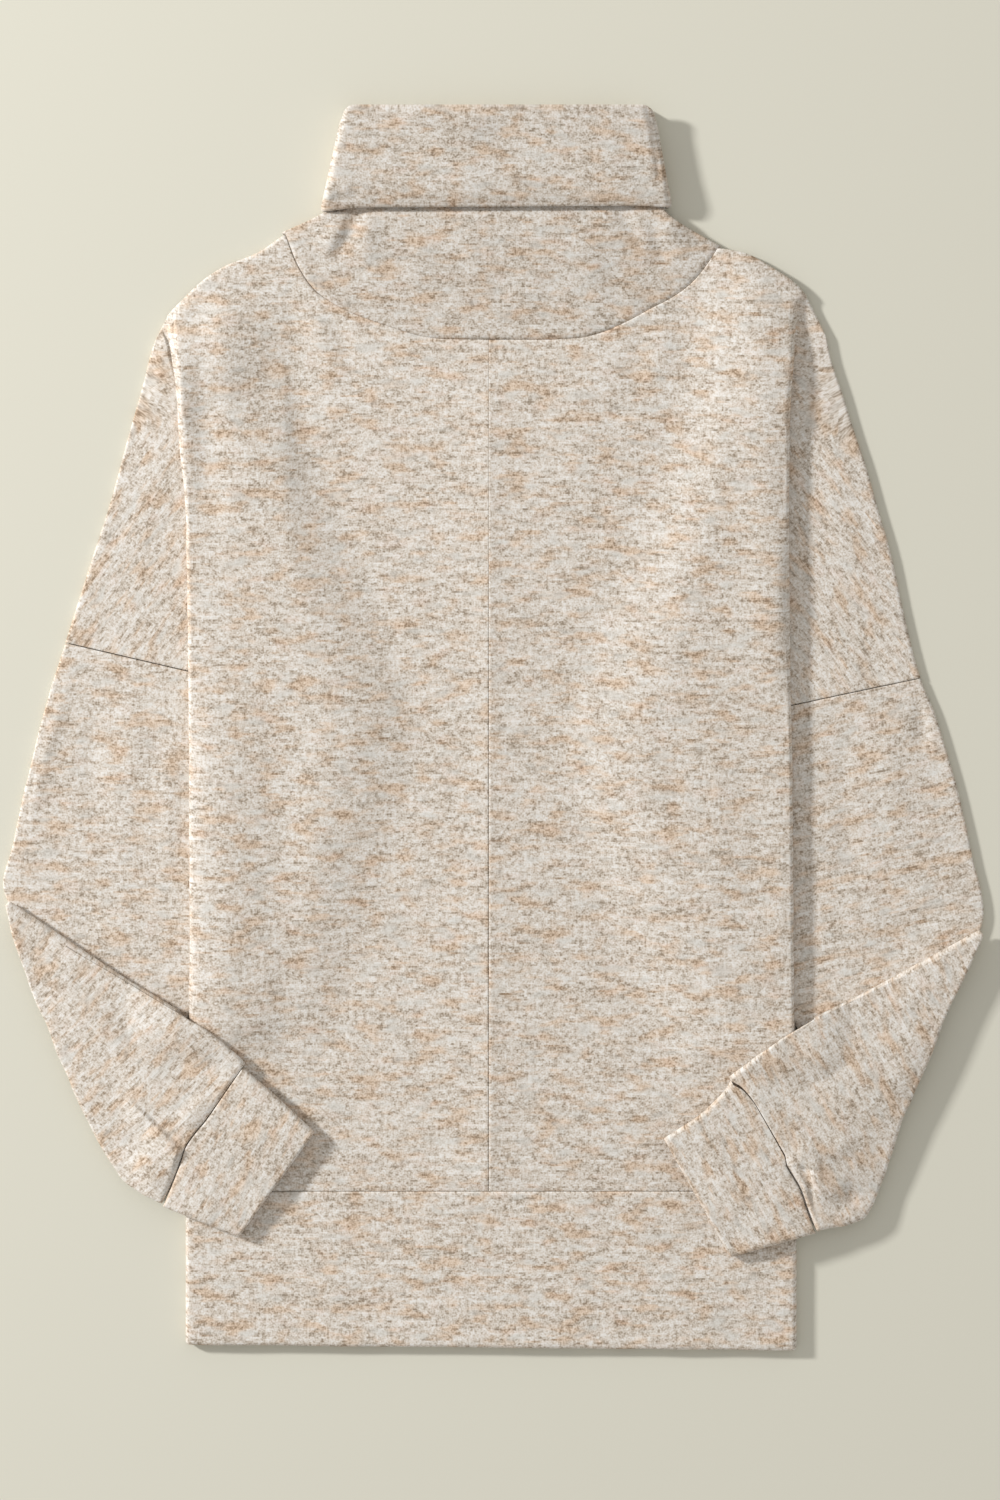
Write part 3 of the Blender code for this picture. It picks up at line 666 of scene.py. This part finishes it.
# Where the points of an upper sleeve's outer edge fall, from the armhole, 0, to the elbow, 1
upper_shares = [0.0, 0.2, 0.45, 0.65, 0.85, 1.0]
sleeves = {
    "left": {
        "upper_outer": [(-266, 53), (-278, 16), (-291, -36), (-298.5, -71), (-305, -97), (-300, -113)],
        "upper_inner_end": (-204.3, -216),
        "elbow_fold": [(-302.5, -110), (-199, -179)],
        "fore_outer": [(-303, -110), (-299, -125), (-287, -162), (-276, -187), (-264, -217),
                       (-250, -248), (-228, -282), (-207, -294)],
        "fore_inner": [(-197.5, -175), (-194, -177), (-188, -181), (-181, -184.5), (-173, -190),
                       (-166, -195.5), (-160, -201), (-155, -206)],
        "grain": (0, 46),
        "cuff_seam_pull": [(0, 0.7), (0.3, 0.6), (0.37, 0.1), (0.43, 0.1), (0.5, 0.4), (0.85, 0.6), (1, 0.4)],
        "cuff_seam_bow": [
            (0, 0), (0.14, 1.6), (0.27, 3.6), (0.39, 5.6), (0.5, 4.6), (0.58, 3.2), (0.82, 1.4), (1, 0),
        ],
        "creases": [
            ([(-262, 44), (-272, 10), (-285, -34), (-293, -72)], 6, 1.0),
            ([(-228, 34), (-224, -6), (-228, -50)], 7, 0.5),
            ([(-246, 30), (-250, -20), (-244, -80)], 8, -0.6),
            ([(-196, 20), (-202, -40), (-204, -110)], 6, 0.6),
            ([(-290, -80), (-262, -106), (-232, -134)], 8, -0.6),
        ],
        "fore_creases": [
            ([(-184, -268), (-200, -254), (-213, -242), (-230, -227)], 9, 2.2, "tuck end"),
            ([(-190, -270), (-202, -260), (-216, -247)], 6, 0.9, "end"),
            ([(-222, -262), (-212, -275), (-206, -288)], 8, 1.5),
            ([(-176, -226), (-184, -238), (-192, -250)], 6, 0.9),
            ([(-284, -140), (-258, -168), (-228, -196)], 9, 0.8),
            ([(-292, -132), (-268, -152), (-240, -166)], 7, -0.7),
            ([(-262, -190), (-240, -210), (-222, -236)], 8, -0.6),
            ([(-214, -196), (-196, -206), (-180, -214)], 7, -0.7),
            ([(-206, -186), (-188, -196), (-172, -206)], 6, 0.7),
        ],
    },
    "right": {
        "upper_outer": [(264.5, 31), (275.6, 3), (288.6, -43), (297, -79), (304, -114), (300, -131)],
        "upper_inner_end": (205, -226),
        "elbow_fold": [(302.5, -128), (200, -184)],
        "fore_outer": [(303, -128), (299, -137), (290, -156), (280.6, -176), (268, -208),
                       (254, -240), (228, -305), (201, -311)],
        "fore_inner": [(198, -180), (193, -183), (186, -187), (178, -192), (170, -197.5),
                       (162, -203), (154, -209), (146, -215)],
        "grain": (12, -62),
        "cuff_seam_pull": [(0, 0.5), (0.4, 0.6), (0.48, 0.05), (1, 0.0)],
        "cuff_seam_bow": [
            (0, 0), (0.13, 2.2), (0.27, 4.6), (0.4, 4.2), (0.47, 6.2), (0.8, 6.0), (0.93, 4.0), (1, 0),
        ],
        "creases": [
            ([(264, 26), (266, 6), (264, -20)], 5, -1.2),
            ([(240, 20), (246, -30), (252, -80)], 8, 0.7),
            ([(214, 4), (218, -50), (222, -110)], 7, -0.6),
            ([(290, -104), (262, -122), (232, -140)], 8, -0.6),
        ],
        "fore_creases": [
            ([(184, -272.5), (203, -272.5)], 7, 1.3, "tuck end"),
            ([(202, -277), (190, -278)], 4, 0.8, "start"),
            ([(186, -268), (190, -280), (196, -298)], 3, -1.6),
            ([(196, -280), (208, -284), (222, -280)], 6, 1.7, "end"),
            ([(188, -262), (206, -262), (226, -254)], 6, 1.3, "end"),
            ([(192, -296), (212, -296), (234, -286)], 6, -1.2, "end"),
            ([(286, -150), (258, -168), (228, -180)], 8, 0.7),
            ([(270, -180), (250, -210), (236, -250)], 9, 0.7),
            ([(176, -200), (192, -214), (206, -232)], 7, -0.6),
        ],
    },
}


def rest_height(side, x, y):
    """Height of the top face of the body, or of the hem band, under each point."""
    out = np.minimum(np.abs(x - middle_seam), 186.0)
    top = body_height(side, 0.0, out)
    share = np.minimum((top - y) / (top - hem_seam), 1.0)
    down = share
    for _ in range(6):
        down = share - slant(side, down, out)
    zone, high = thick_side(side, down), fold_begins(side, down)[1]
    body = high + (skin - high) * ease(zone - out, 0, fall) + skin + front_puff(down, out / zone)
    return np.maximum(body, band_high * ease(-y, 255, 275))


def under_forearm(name, x, y):
    """Height of whatever lies under the forearm at each point."""
    sleeve = sleeves[name]
    start, end = np.array(sleeve["upper_outer"][-1]), np.array(sleeve["upper_inner_end"])
    run = (end - start) / np.linalg.norm(end - start)
    away = np.array([run[1], -run[0]]) * (1 if end[0] > start[0] else -1)
    beyond = (x - start[0]) * away[0] + (y - start[1]) * away[1]
    elbow = (skin * 2 + stack) * (1 - ease(beyond, 4, 4 + elbow_fade))
    body = rest_height(sides[name], x, y) * (1 - ease(np.abs(x - middle_seam), 192, 192 + side_fade))
    return np.maximum(elbow, body)


def into_cuff(name):
    """Direction square to the cuff's seam, from the sleeve into the cuff."""
    outer, inner = (np.array(sleeves[name][edge][-1], float) for edge in ("fore_outer", "fore_inner"))
    run = (inner - outer) / np.linalg.norm(inner - outer)
    square = np.array([-run[1], run[0]])
    return square if square[1] < 0 else -square


def bowed(name, share_across, from_seam):
    """How far the cuff's seam bows back over the forearm, fading out on both sides of the seam."""
    return read(sleeves[name]["cuff_seam_bow"], share_across)[None] * (1 - ease(from_seam, 0, bow_length))


def across(first, last, steps):
    """Points on the straight line from the first to the last."""
    first, last = np.array(first, float), np.array(last, float)
    return first + (last - first) * steps[:, None]


def measured(points, facing):
    """For each point of a tube: how far it is from the first row and from the last, its x and y, and
    whether it is on the upper face."""
    along = walked(points, 0)
    return along, along[-1:] - along, points[..., 0].copy(), points[..., 1].copy(), facing[..., 2] > 0.5


def tube(lines, thickness):
    """Turns round a flattened tube, each over the top from its outer edge and back below. Each is given
    as its middle line, the way that its upper face looks, and half the depth to the walls' middles."""
    turn = np.linspace(0, math.pi, edge_steps + 1)[1:-1, None]
    points, facing = [], []
    for line, up, half in lines:
        out = (line[0] - line[-1]) * [1, 1, 0]
        out = out / np.linalg.norm(out)
        reach = half + thickness / 2
        line = line - out * reach * (1 - 2 * np.linspace(0, 1, len(line))[:, None])
        near, far = np.cos(turn) * up - np.sin(turn) * out, np.sin(turn) * out - np.cos(turn) * up
        below = (line - up * reach)[::-under_step]
        points.append(np.vstack([line + up * reach, line[-1] + reach * near, below, line[0] + reach * far]))
        facing.append(np.vstack([0 * line + up, near, 0 * below - up, far]))
    return np.array(points), np.array(facing)


def sleeve_tube(name):
    """A sleeve from its armhole to its cuff: points, their outward sides, and the part of each row."""
    side, sleeve = sides[name], sleeves[name]
    steps = np.linspace(0, 1, across_count)
    places, _, _, kinds = body_grid(side, np.array([armhole]), "neck")
    inner_start = places[0, np.flatnonzero(kinds == turned_back)[-1], :2] - [0, seam_gap]
    inner_end = np.array(sleeve["upper_inner_end"], float)
    outers = np.array(sleeve["upper_outer"], float)
    outers[0] = places[0, -1, :2] - [0, seam_gap]
    outer_line = np.column_stack([upper_shares, outers])
    rows, kinds = [], []
    for share in np.concatenate([[0, 0.0015, 0.004, 0.008, 0.014], np.linspace(0.022, 1, 64)]):
        outer = [read(outer_line, share, column) for column in (1, 2)]
        x, y = across(outer, inner_start + (inner_end - inner_start) * share, steps).T
        rows.append((points_at(x, y, skin), upward, half_pair))
        kinds.append("upper")

    # the elbow: round below, back under the forearm, and round above it
    lower = across(outers[-1], inner_end, steps)
    upper = across(*sleeve["elbow_fold"], steps)
    for line, low, facing in ((lower, skin, 1), (upper, skin + stack, -1)):
        run = (line[-1] - line[0]) / np.linalg.norm(line[-1] - line[0])
        away = np.array([-run[1], run[0]]) * side["sign"] * facing
        high = np.full(across_count, skin + stack)
        if facing < 0:
            high = under_forearm(name, *line.T) + air + skin
        radius = (high - low) / 2
        for turn in np.linspace(0, math.pi, 15)[1:]:
            x, y = line.T + away[:, None] * radius * math.sin(turn)
            tilt = np.append(-away * math.sin(turn), math.cos(turn)) * facing
            rows.append((points_at(x, y, low + radius * (1 - math.cos(turn))), tilt, half_pair))
            kinds.append("lower_roll" if facing > 0 else "elbow_roll")
        if facing > 0:
            for share in (0.25, 0.5, 0.75, 1.0):
                x, y = (lower + (upper - lower) * share).T
                rows.append((points_at(x, y, skin + stack), -upward, half_pair))
                kinds.append("between")

    # the forearm lies loosely on what is below it, and fills out towards the cuff
    marks = np.linspace(0, 1, len(sleeve["fore_outer"]))
    fore_shares = np.concatenate([
        np.linspace(0.03, 0.6, 44),
        np.linspace(0.606, 0.985, 86),
        [0.99, 0.994, 0.997, 0.999, 1.0],
    ])
    edges = [np.column_stack([marks, sleeve[edge]]) for edge in ("fore_outer", "fore_inner")]
    for share in fore_shares:
        ends = [[read(edge, share, column) for column in (1, 2)] for edge in edges]
        x, y = across(*ends, steps).T
        half = half_pair + (cuff_puff - half_pair) * ease(share, 0.3, 1.0)
        looser = 0.5 * ease(share, 0, 0.4) + 0.45 * ease(share, 0.8, 1.0)
        high = under_forearm(name, x, y) + air + looser + half + wall / 2
        rows.append((points_at(x, y, high), upward, half))
        kinds.append("fore")
    return *tube(rows, wall), np.array(kinds)


for name, sleeve in sleeves.items():
    points, facing, kinds = sleeve_tube(name)
    along, from_cuff, x, y, above = measured(points, facing)
    upper = (kinds == "upper")[:, None]
    on_body = (kinds == "fore")[:, None]
    fore = on_body | (kinds == "elbow_roll")[:, None]
    column = np.arange(points.shape[1])
    share_across = np.minimum(column, across_count - 1) / (across_count - 1)

    # the ends go down into the armhole and the cuff, under whose edge the sleeve is tucked
    pull = read(sleeve["cuff_seam_pull"], share_across)[None]
    points = pressed(points, facing, 0.45 * lip(along, armhole_round) + pull * lip(from_cuff, cuff_round))
    tucked = 1.4 * lip(from_cuff, 1.0) - bowed(name, share_across, from_cuff) * above
    points[..., :2] += into_cuff(name) * tucked[..., None]
    points[-1, :, 2] -= np.where(above[-1], 0.25, 0)

    # creases on the upper face, and edges that waver a little
    edge = np.minimum(column, np.abs(column - across_count + 1))[None]
    inside = np.where(column < across_count, ease(edge, 0, 5), 0) * above
    lift = np.where(upper, crease_height(x, y, sleeve["creases"]) + 0.35 * slack(x, y, 40.0, 5.0), 0)
    fore_lift = crease_height(x, y, sleeve["fore_creases"]) + 0.35 * slack(x, y, 34.0, 9.0)
    lift = lift + np.where(fore, fore_lift, 0)
    points[..., 2] += lift * ease(along, 0, 10) * ease(from_cuff, 0, 2.5) * inside
    waver = 0.9 * slack(x, y, 20.0, 45.0) * on_body + 0.6 * slack(x, y, 26.0, 49.0) * upper
    waver = waver * ease(along, 0, 12) * ease(from_cuff, 0, 12)
    points[..., :2] += facing[..., :2] * waver[..., None]
    upper_grain, fore_grain = sleeve["grain"]
    pivot = sleeve["elbow_fold"][0]
    courses = np.where(fore[..., None], grain(points, fore_grain, pivot), grain(points, upper_grain, pivot))
    piece = sew(f"sleeve_{name}_knit", points, facing, courses, cloth_shown, closed=True)
    lay(piece, f"sleeve_{name}", body_knit)


# Cuffs
# Each is a tube of the same knit, doubled, and sewn to the gathered sleeve end, with a soft rounded
# opening. It lies on the lower front, over the end of the body.

# A cuff's wall, the air in it and below it, the cloth that is drawn, and how far an open edge rounds off
cuff_wall, cuff_air, cuff_clear = 1.8, 2.2, 0.8
cuff_shown = 1.5
edge_fall = 0.95
cuffs = {
    "left": {
        "seam": [(-205.5, -296), (-155, -208)],
        "opening": [(-158, -315), (-111, -250)],
        "grain": 60,
        "dent": [(0, 1.8), (0.15, 1.4), (0.5, 0.4), (1, 0)],
    },
    "right": {
        "seam": [(199, -312.5), (146, -217)],
        "opening": [(146, -327.5), (104.5, -254)],
        "grain": -60,
        "dent": [(0, 1.0), (0.12, 3.2), (0.45, 4.2), (0.8, 1.8), (1, 0)],
    },
}
doubled_knit = knit_material("doubled_heather_knit", 1.2, 0.97)

for name, cuff in cuffs.items():
    away = np.mean(cuff["opening"], axis=0) - np.mean(cuff["seam"], axis=0)
    seam = np.array(cuff["seam"], float) + away / np.linalg.norm(away) * seam_gap
    opening = np.array(cuff["opening"], float)
    half = (cuff_wall + cuff_air) / 2
    steps = np.linspace(0, 1, across_count)
    shares = np.concatenate([
        [0, 0.004, 0.012, 0.025, 0.04],
        np.linspace(0.06, 0.95, 40),
        [0.962, 0.974, 0.984, 0.992, 0.997, 1.0],
    ])
    rows = []
    for share in shares:
        x, y = across(*(seam + (opening - seam) * share), steps).T
        high = under_forearm(name, x, y) + cuff_clear + half + cuff_wall / 2
        rows.append((points_at(x, y, high), upward, half))
    points, facing = tube(rows, cuff_wall)
    along, from_opening, x, y, above = measured(points, facing)
    share_across = np.append(steps, np.ones(points.shape[1] - across_count))
    pull = read(sleeves[name]["cuff_seam_pull"], share_across)[None]
    dip = pull * lip(along, cuff_round) + edge_fall * lip(from_opening, cuff_round)
    points = pressed(points, facing, dip)
    points[..., :2] -= into_cuff(name) * (bowed(name, share_across, along) * above)[..., None]

    # the inner edge is drawn in between the seam and the opening, and the upper face is slightly crowned
    edges = np.ones(edge_steps - 1)
    around = np.concatenate([steps, edges, steps[::-under_step], 0 * edges])
    dent = read(cuff["dent"], along[:, :1] / along[-1:, :1]) * ease(around, 0.6, 1.0)[None]
    points[..., :2] += (seam[0] - seam[1]) / np.linalg.norm(seam[0] - seam[1]) * dent[..., None]
    crown = np.sin(math.pi * shares)[:, None] * 0.5
    points[..., 2] += np.where(above, crown + 0.3 * slack(x, y, 22.0, 13.0), 0) * ease(along, 0, 6)
    courses = grain(points, cuff["grain"], cuff["seam"][0])
    piece = sew(f"cuff_{name}_knit", points, facing, courses, cuff_shown, closed=True)
    lay(piece, f"cuff_{name}", doubled_knit)


# Hem band
# A deep band of the knit, one tube round the bottom of the body, with its lower edge turned in.

band_left, band_right = -191.5, 187.5
band_shown = 1.6
band_creases = [
    ([(-150, -330), (-90, -338), (-20, -334)], 12, 0.5),
    ([(20, -350), (90, -344), (160, -350)], 12, 0.5),
]

# Rows down the band, close together at its seam, where the first laps the body, and at its lower edge
half = (band_wall + band_air) / 2
x = np.linspace(band_left, band_right, 129)
levels = np.concatenate([[0, 0.3, 0.8, 1.5, 2.4], np.linspace(4.5, 94.6, 38), [95.4, 96.0, 96.4, 96.6, 96.7]])
heights = hem_seam - seam_gap - levels
heights[0] += 0.35
rows = [(points_at(x, y, half + band_wall / 2), upward, half) for y in heights]
points, facing = tube(rows, band_wall)
along, from_edge, x, y, above = measured(points, facing)
points = pressed(points, facing, 0.4 * lip(along, 2.0) + edge_fall * lip(from_edge, 2.4))
wave = crease_height(x, y, band_creases) + 0.35 * slack(x, y, 52.0, 17.0)
points[..., 2] += np.where(above, wave, 0) * ease(along, 0, 8)

# The lower edge wavers, and hangs a little lower on the right
hang = 0.6 * slack(x, 0 * x, 60.0, 21.0) - x / 190 * 1.8
points[..., 1] += hang * ease(along / along[-1:], 0.1, 1.0)
hem_band = sew("hem_band_knit", points, facing, grain(points, 0, (0, 0)), band_shown, closed=True)
lay(hem_band, "hem_band", doubled_knit)


# Cowl
# One ring of doubled knit: a stand that rises from the neck seam, and a deep collar turned down over it.

# The cowl's wall, the air between the collar and the stand, the room inside the stand, and how high the
# middle of the stand's cloth lies behind and in front
cowl_wall, cowl_air, cowl_slot = 2.2, 1.0, 3.4
cowl_shown = 1.5
back_stand = cowl_wall * 1.5 + cowl_air
front_stand = back_stand + cowl_wall + cowl_slot

# The collar's lower and top edge, its left and right side at each of them, how round its sides are, how
# tight its turn at the top is, and the roll of its lower edge
collar_low, collar_top = 322.0, 385.5
collar_left, collar_right = (-105.2, -91.0), (107.6, 96.4)
side_round = 0.25
collar_turn = (cowl_wall + cowl_air) / 2
edge_roll = 1.15
cowl_edge_steps = 11

# The stand: share of the way up, height of its front layer and of its back layer, and how far its
# sides have drawn in from the neck to the collar
stand_rows = [
    (0.0, 4.1, 1.1, 0.0),
    (0.35, 5.2, 1.1, 0.45),
    (0.7, 7.2, 2.3, 0.85),
    (0.95, 7.4, 3.6, 1.0),
    (1.1, 7.8, 4.2, 1.0),
    (1.5, front_stand, back_stand, 1.0),
]
stand_creases = [
    ([(-84, 320), (-91, 305), (-102, 287)], 5, -1.7, "end"),
    ([(78, 320), (86, 307), (93, 295)], 4.5, -1.2, "end"),
    ([(-92, 316), (-99, 303), (-108, 290)], 5, 1.4),
    ([(-76, 316), (-80, 300), (-82, 284)], 6, 1.0),
    ([(104, 318), (112, 304), (122, 290)], 6, 1.1),
    ([(96, 316), (101, 300), (106, 282)], 5, -1.0),
    ([(-40, 312), (-46, 286), (-50, 262)], 10, 0.6),
    ([(50, 312), (58, 284), (62, 260)], 10, 0.6),
    ([(6, 312), (8, 284), (4, 254)], 10, -0.5),
]
collar_creases = [
    ([(-74, 384), (-44, 378), (-14, 373), (14, 371)], 7, 2.4),
    ([(-80, 340), (-20, 336), (40, 341)], 8, 0.4),
    ([(94.4, 384), (97.5, 372), (100.5, 352), (103.6, 326)], 2.2, -1.5, "end"),
    ([(-104, 330), (-97, 333), (-86, 331)], 5, 0.9, "end"),
    ([(-99, 326), (-90, 326.5), (-80, 326)], 3.5, -0.8, "end"),
]


def cowl_ring(share, drawn, front_z, back_z):
    """One ring of the cowl: along the front, round, and back along the back, with its outward sides."""
    left_neck, right_neck = sides["left"]["neck"][-1][0], sides["right"]["neck"][-1][0]
    outs = np.concatenate([-left_neck * np.linspace(1, 0, 61), right_neck * np.linspace(0, 1, 67)[1:]])
    climb = max(share - 1, 0.0)
    left = collar_left[0] + back_stand + (collar_left[1] - collar_left[0]) * climb
    right = collar_right[0] - back_stand + (collar_right[1] - collar_right[0]) * climb
    x_high = left + (right - left) * (outs + left_neck) / (left_neck + right_neck)
    x = middle_seam + outs + (x_high - middle_seam - outs) * drawn
    radius, middle = (front_z - back_z) / 2, (front_z + back_z) / 2
    x = x + radius * (1 - side_round) * drawn * np.linspace(-1, 1, len(x))
    round_x = radius * (1 - (1 - side_round) * drawn)
    lines = []
    for neck in ("neck", "back_neck"):
        start = np.where(outs < 0, read(sides["left"][neck], -outs), read(sides["right"][neck], outs)) + 0.3
        lines.append(start + (collar_low - start) * min(share, 1.0) + (collar_top - collar_low) * climb)
    front, behind = lines
    turn = np.linspace(0, math.pi, cowl_edge_steps)[1:-1]
    right_y = np.linspace(front[-1], behind[-1], cowl_edge_steps)[1:-1]
    left_y = np.linspace(behind[0], front[0], cowl_edge_steps)[1:-1]
    places = np.vstack([
        points_at(x, front, front_z),
        points_at(x[-1] + round_x * np.sin(turn), right_y, middle + radius * np.cos(turn)),
        points_at(x[::-1], behind[::-1], back_z),
        points_at(x[0] - round_x * np.sin(turn), left_y, middle - radius * np.cos(turn)),
    ])
    outward = points_at(np.sin(turn), 0, np.cos(turn))
    facing_front = np.tile(upward, (len(x), 1))
    return places, np.vstack([facing_front, outward, -facing_front, -outward])


# Rings from the neck seam up the stand, over the turn at the top, and down the collar to its edge, which
# is turned in and goes a little way back up inside
fold_line = collar_top - collar_turn - cowl_wall / 2
top_share = 1 + (fold_line - collar_low) / (collar_top - collar_low)
stand_shares = np.concatenate([
    [0, 0.006, 0.015, 0.03],
    np.linspace(0.06, 0.95, 34),
    np.linspace(0.99, top_share, 20),
])
profile = [(share, *(float(read(stand_rows, share, i)) for i in (1, 2, 3)), 0.0) for share in stand_shares]
profile += [(top_share, front_stand, back_stand, 1.0, turn) for turn in np.linspace(0, math.pi, 13)[1:]]
down_shares = np.concatenate([np.linspace(top_share, 1.03, 32)[1:], [1.02, 1.01, 1.0]])
profile += [(share, front_stand, back_stand, 1.0, math.pi) for share in down_shares]
points, facing = [], []
for share, front_z, back_z, drawn, turn in profile:
    places, normals = cowl_ring(share, drawn, front_z, back_z)
    lift, rise = collar_turn * (1 - math.cos(turn)), collar_turn * math.sin(turn)
    points.append(places + normals * lift + np.array([0, rise, 0]))
    facing.append(normals * math.cos(turn) + np.array([0, -math.sin(turn), 0]))
collar_edge, edge_facing = points[-1], facing[-1]
for turn in np.linspace(0, math.pi, cowl_edge_steps)[1:]:
    down = np.array([0, -edge_roll * math.sin(turn), 0])
    points.append(collar_edge + edge_facing * edge_roll * (1 - math.cos(turn)) + down)
    facing.append(edge_facing * math.cos(turn) + np.array([0, math.sin(turn), 0]))
for back_up in (1.5, 3.0, 5.0):
    points.append(points[-1] + np.array([0, back_up, 0]))
    facing.append(-edge_facing)
points, facing = np.array(points), np.array(facing)

# Which rows are the stand, which the collar, turned down and turned in at its edge
turned_in = len(points) - len(profile)
turns = np.array([row[-1] for row in profile] + [math.pi] * turned_in)[:, None]
ups = np.array([row[0] for row in profile] + [1.0] * turned_in)[:, None]
collar_rows = turns > 2
stand = (turns == 0) & (ups <= 0.96)
along, from_end, x, y, above = measured(points, np.where(collar_rows[..., None], -facing, facing))
lift = np.where(stand, crease_height(x, y, stand_creases) + 0.4 * slack(x, y, 30.0, 25.0), 0)
lift = lift + np.where(collar_rows, crease_height(x, y, collar_creases) + 0.35 * slack(x, y, 36.0, 29.0), 0)
lift = np.where(above, lift, 0) * ease(along, 0, 8) * ease(from_end, 10, 20)
points[..., 2] += lift - np.where(above & stand, read(neck_seam_pull, x) * lip(along, neck_round), 0)

# The collar's edge curls down towards the stand, which is pressed in below it
edge_up = 2.3 + 0.6 * x / 100
curl = 2.4 * np.exp(-np.maximum(y - collar_low, 0) / 4.5)
points[..., 2] -= np.where(collar_rows & (facing[..., 2] < 0.99) & (points[..., 2] > 8), curl, 0)
slot = 3.0 * np.exp(-(((y - collar_low - edge_up + 1.2) / 3.6) ** 2))
points[..., 2] -= np.where((turns == 0) & (facing[..., 2] > 0.5), slot, 0)

# Rounded top corners, and a lower edge that lies a little high in the middle and droops at its ends
wide = points[..., 0]
from_side = np.minimum(wide - wide.min(1, keepdims=True), wide.max(1, keepdims=True) - wide)
points[..., 1] -= lip(from_side, 6.0) * ease(y, collar_top - 14, collar_top)
droop = 2.2 * np.exp(-(((x - collar_left[0]) / 13) ** 2)) + 1.0 * np.exp(-(((x - collar_right[0]) / 10) ** 2))
points[..., 1] += np.where(collar_rows, (edge_up - droop) * (1 - ease(y, collar_low, collar_low + 26)), 0)
# The cowl's copy of the knit is made darker than the body's: painted shade, standing in for the collar lying
# in less light
cowl_knit = knit_material("cowl_knit_painted_shade", 1.15, 0.89)
cowl = sew("cowl_knit", points, facing, grain(points, 0, (0, 0)), cowl_shown, closed=True, offset=0.0)
lay(cowl, "cowl", cowl_knit)


# The surface, the lamp and the camera
# A pale plain table with one soft lamp from the upper left, seen from straight above.

bpy.ops.mesh.primitive_plane_add(size=6, location=(0, 0, -0.0003))
table_top = bpy.context.object
table_top.name = "table_top"
bpy.ops.object.transform_apply(location=True, rotation=False, scale=False)
pale = bpy.data.materials.new("pale_table")
pale.use_nodes = True
pale_shader = pale.node_tree.nodes["Principled BSDF"]
pale_shader.inputs["Base Color"].default_value = (0.72, 0.70, 0.60, 1)
pale_shader.inputs["Roughness"].default_value = 0.9
table_top.data.materials.append(pale)

lamp_data = bpy.data.lights.new("lamp", "AREA")
lamp_data.size = 0.42
lamp_data.energy = 198
lamp = bpy.data.objects.new("lamp", lamp_data)
lamp.location = (-3.675, 1.5625, 1.775)
lamp.rotation_euler = (-lamp.location).to_track_quat("-Z", "Y").to_euler()
bpy.context.scene.collection.objects.link(lamp)

world = bpy.data.worlds.new("room")
world.use_nodes = True
world.node_tree.nodes["Background"].inputs["Color"].default_value = (1.0, 0.985, 0.955, 1)
world.node_tree.nodes["Background"].inputs["Strength"].default_value = 0.525
bpy.context.scene.world = world

camera_data = bpy.data.cameras.new("camera")
camera_data.lens = 80
camera_data.sensor_width = 36
camera = bpy.data.objects.new("camera", camera_data)
camera.location = (0.0040, -0.0143, 2.0717)
bpy.context.scene.collection.objects.link(camera)
bpy.context.scene.camera = camera
bpy.context.scene.view_settings.view_transform = "Standard"
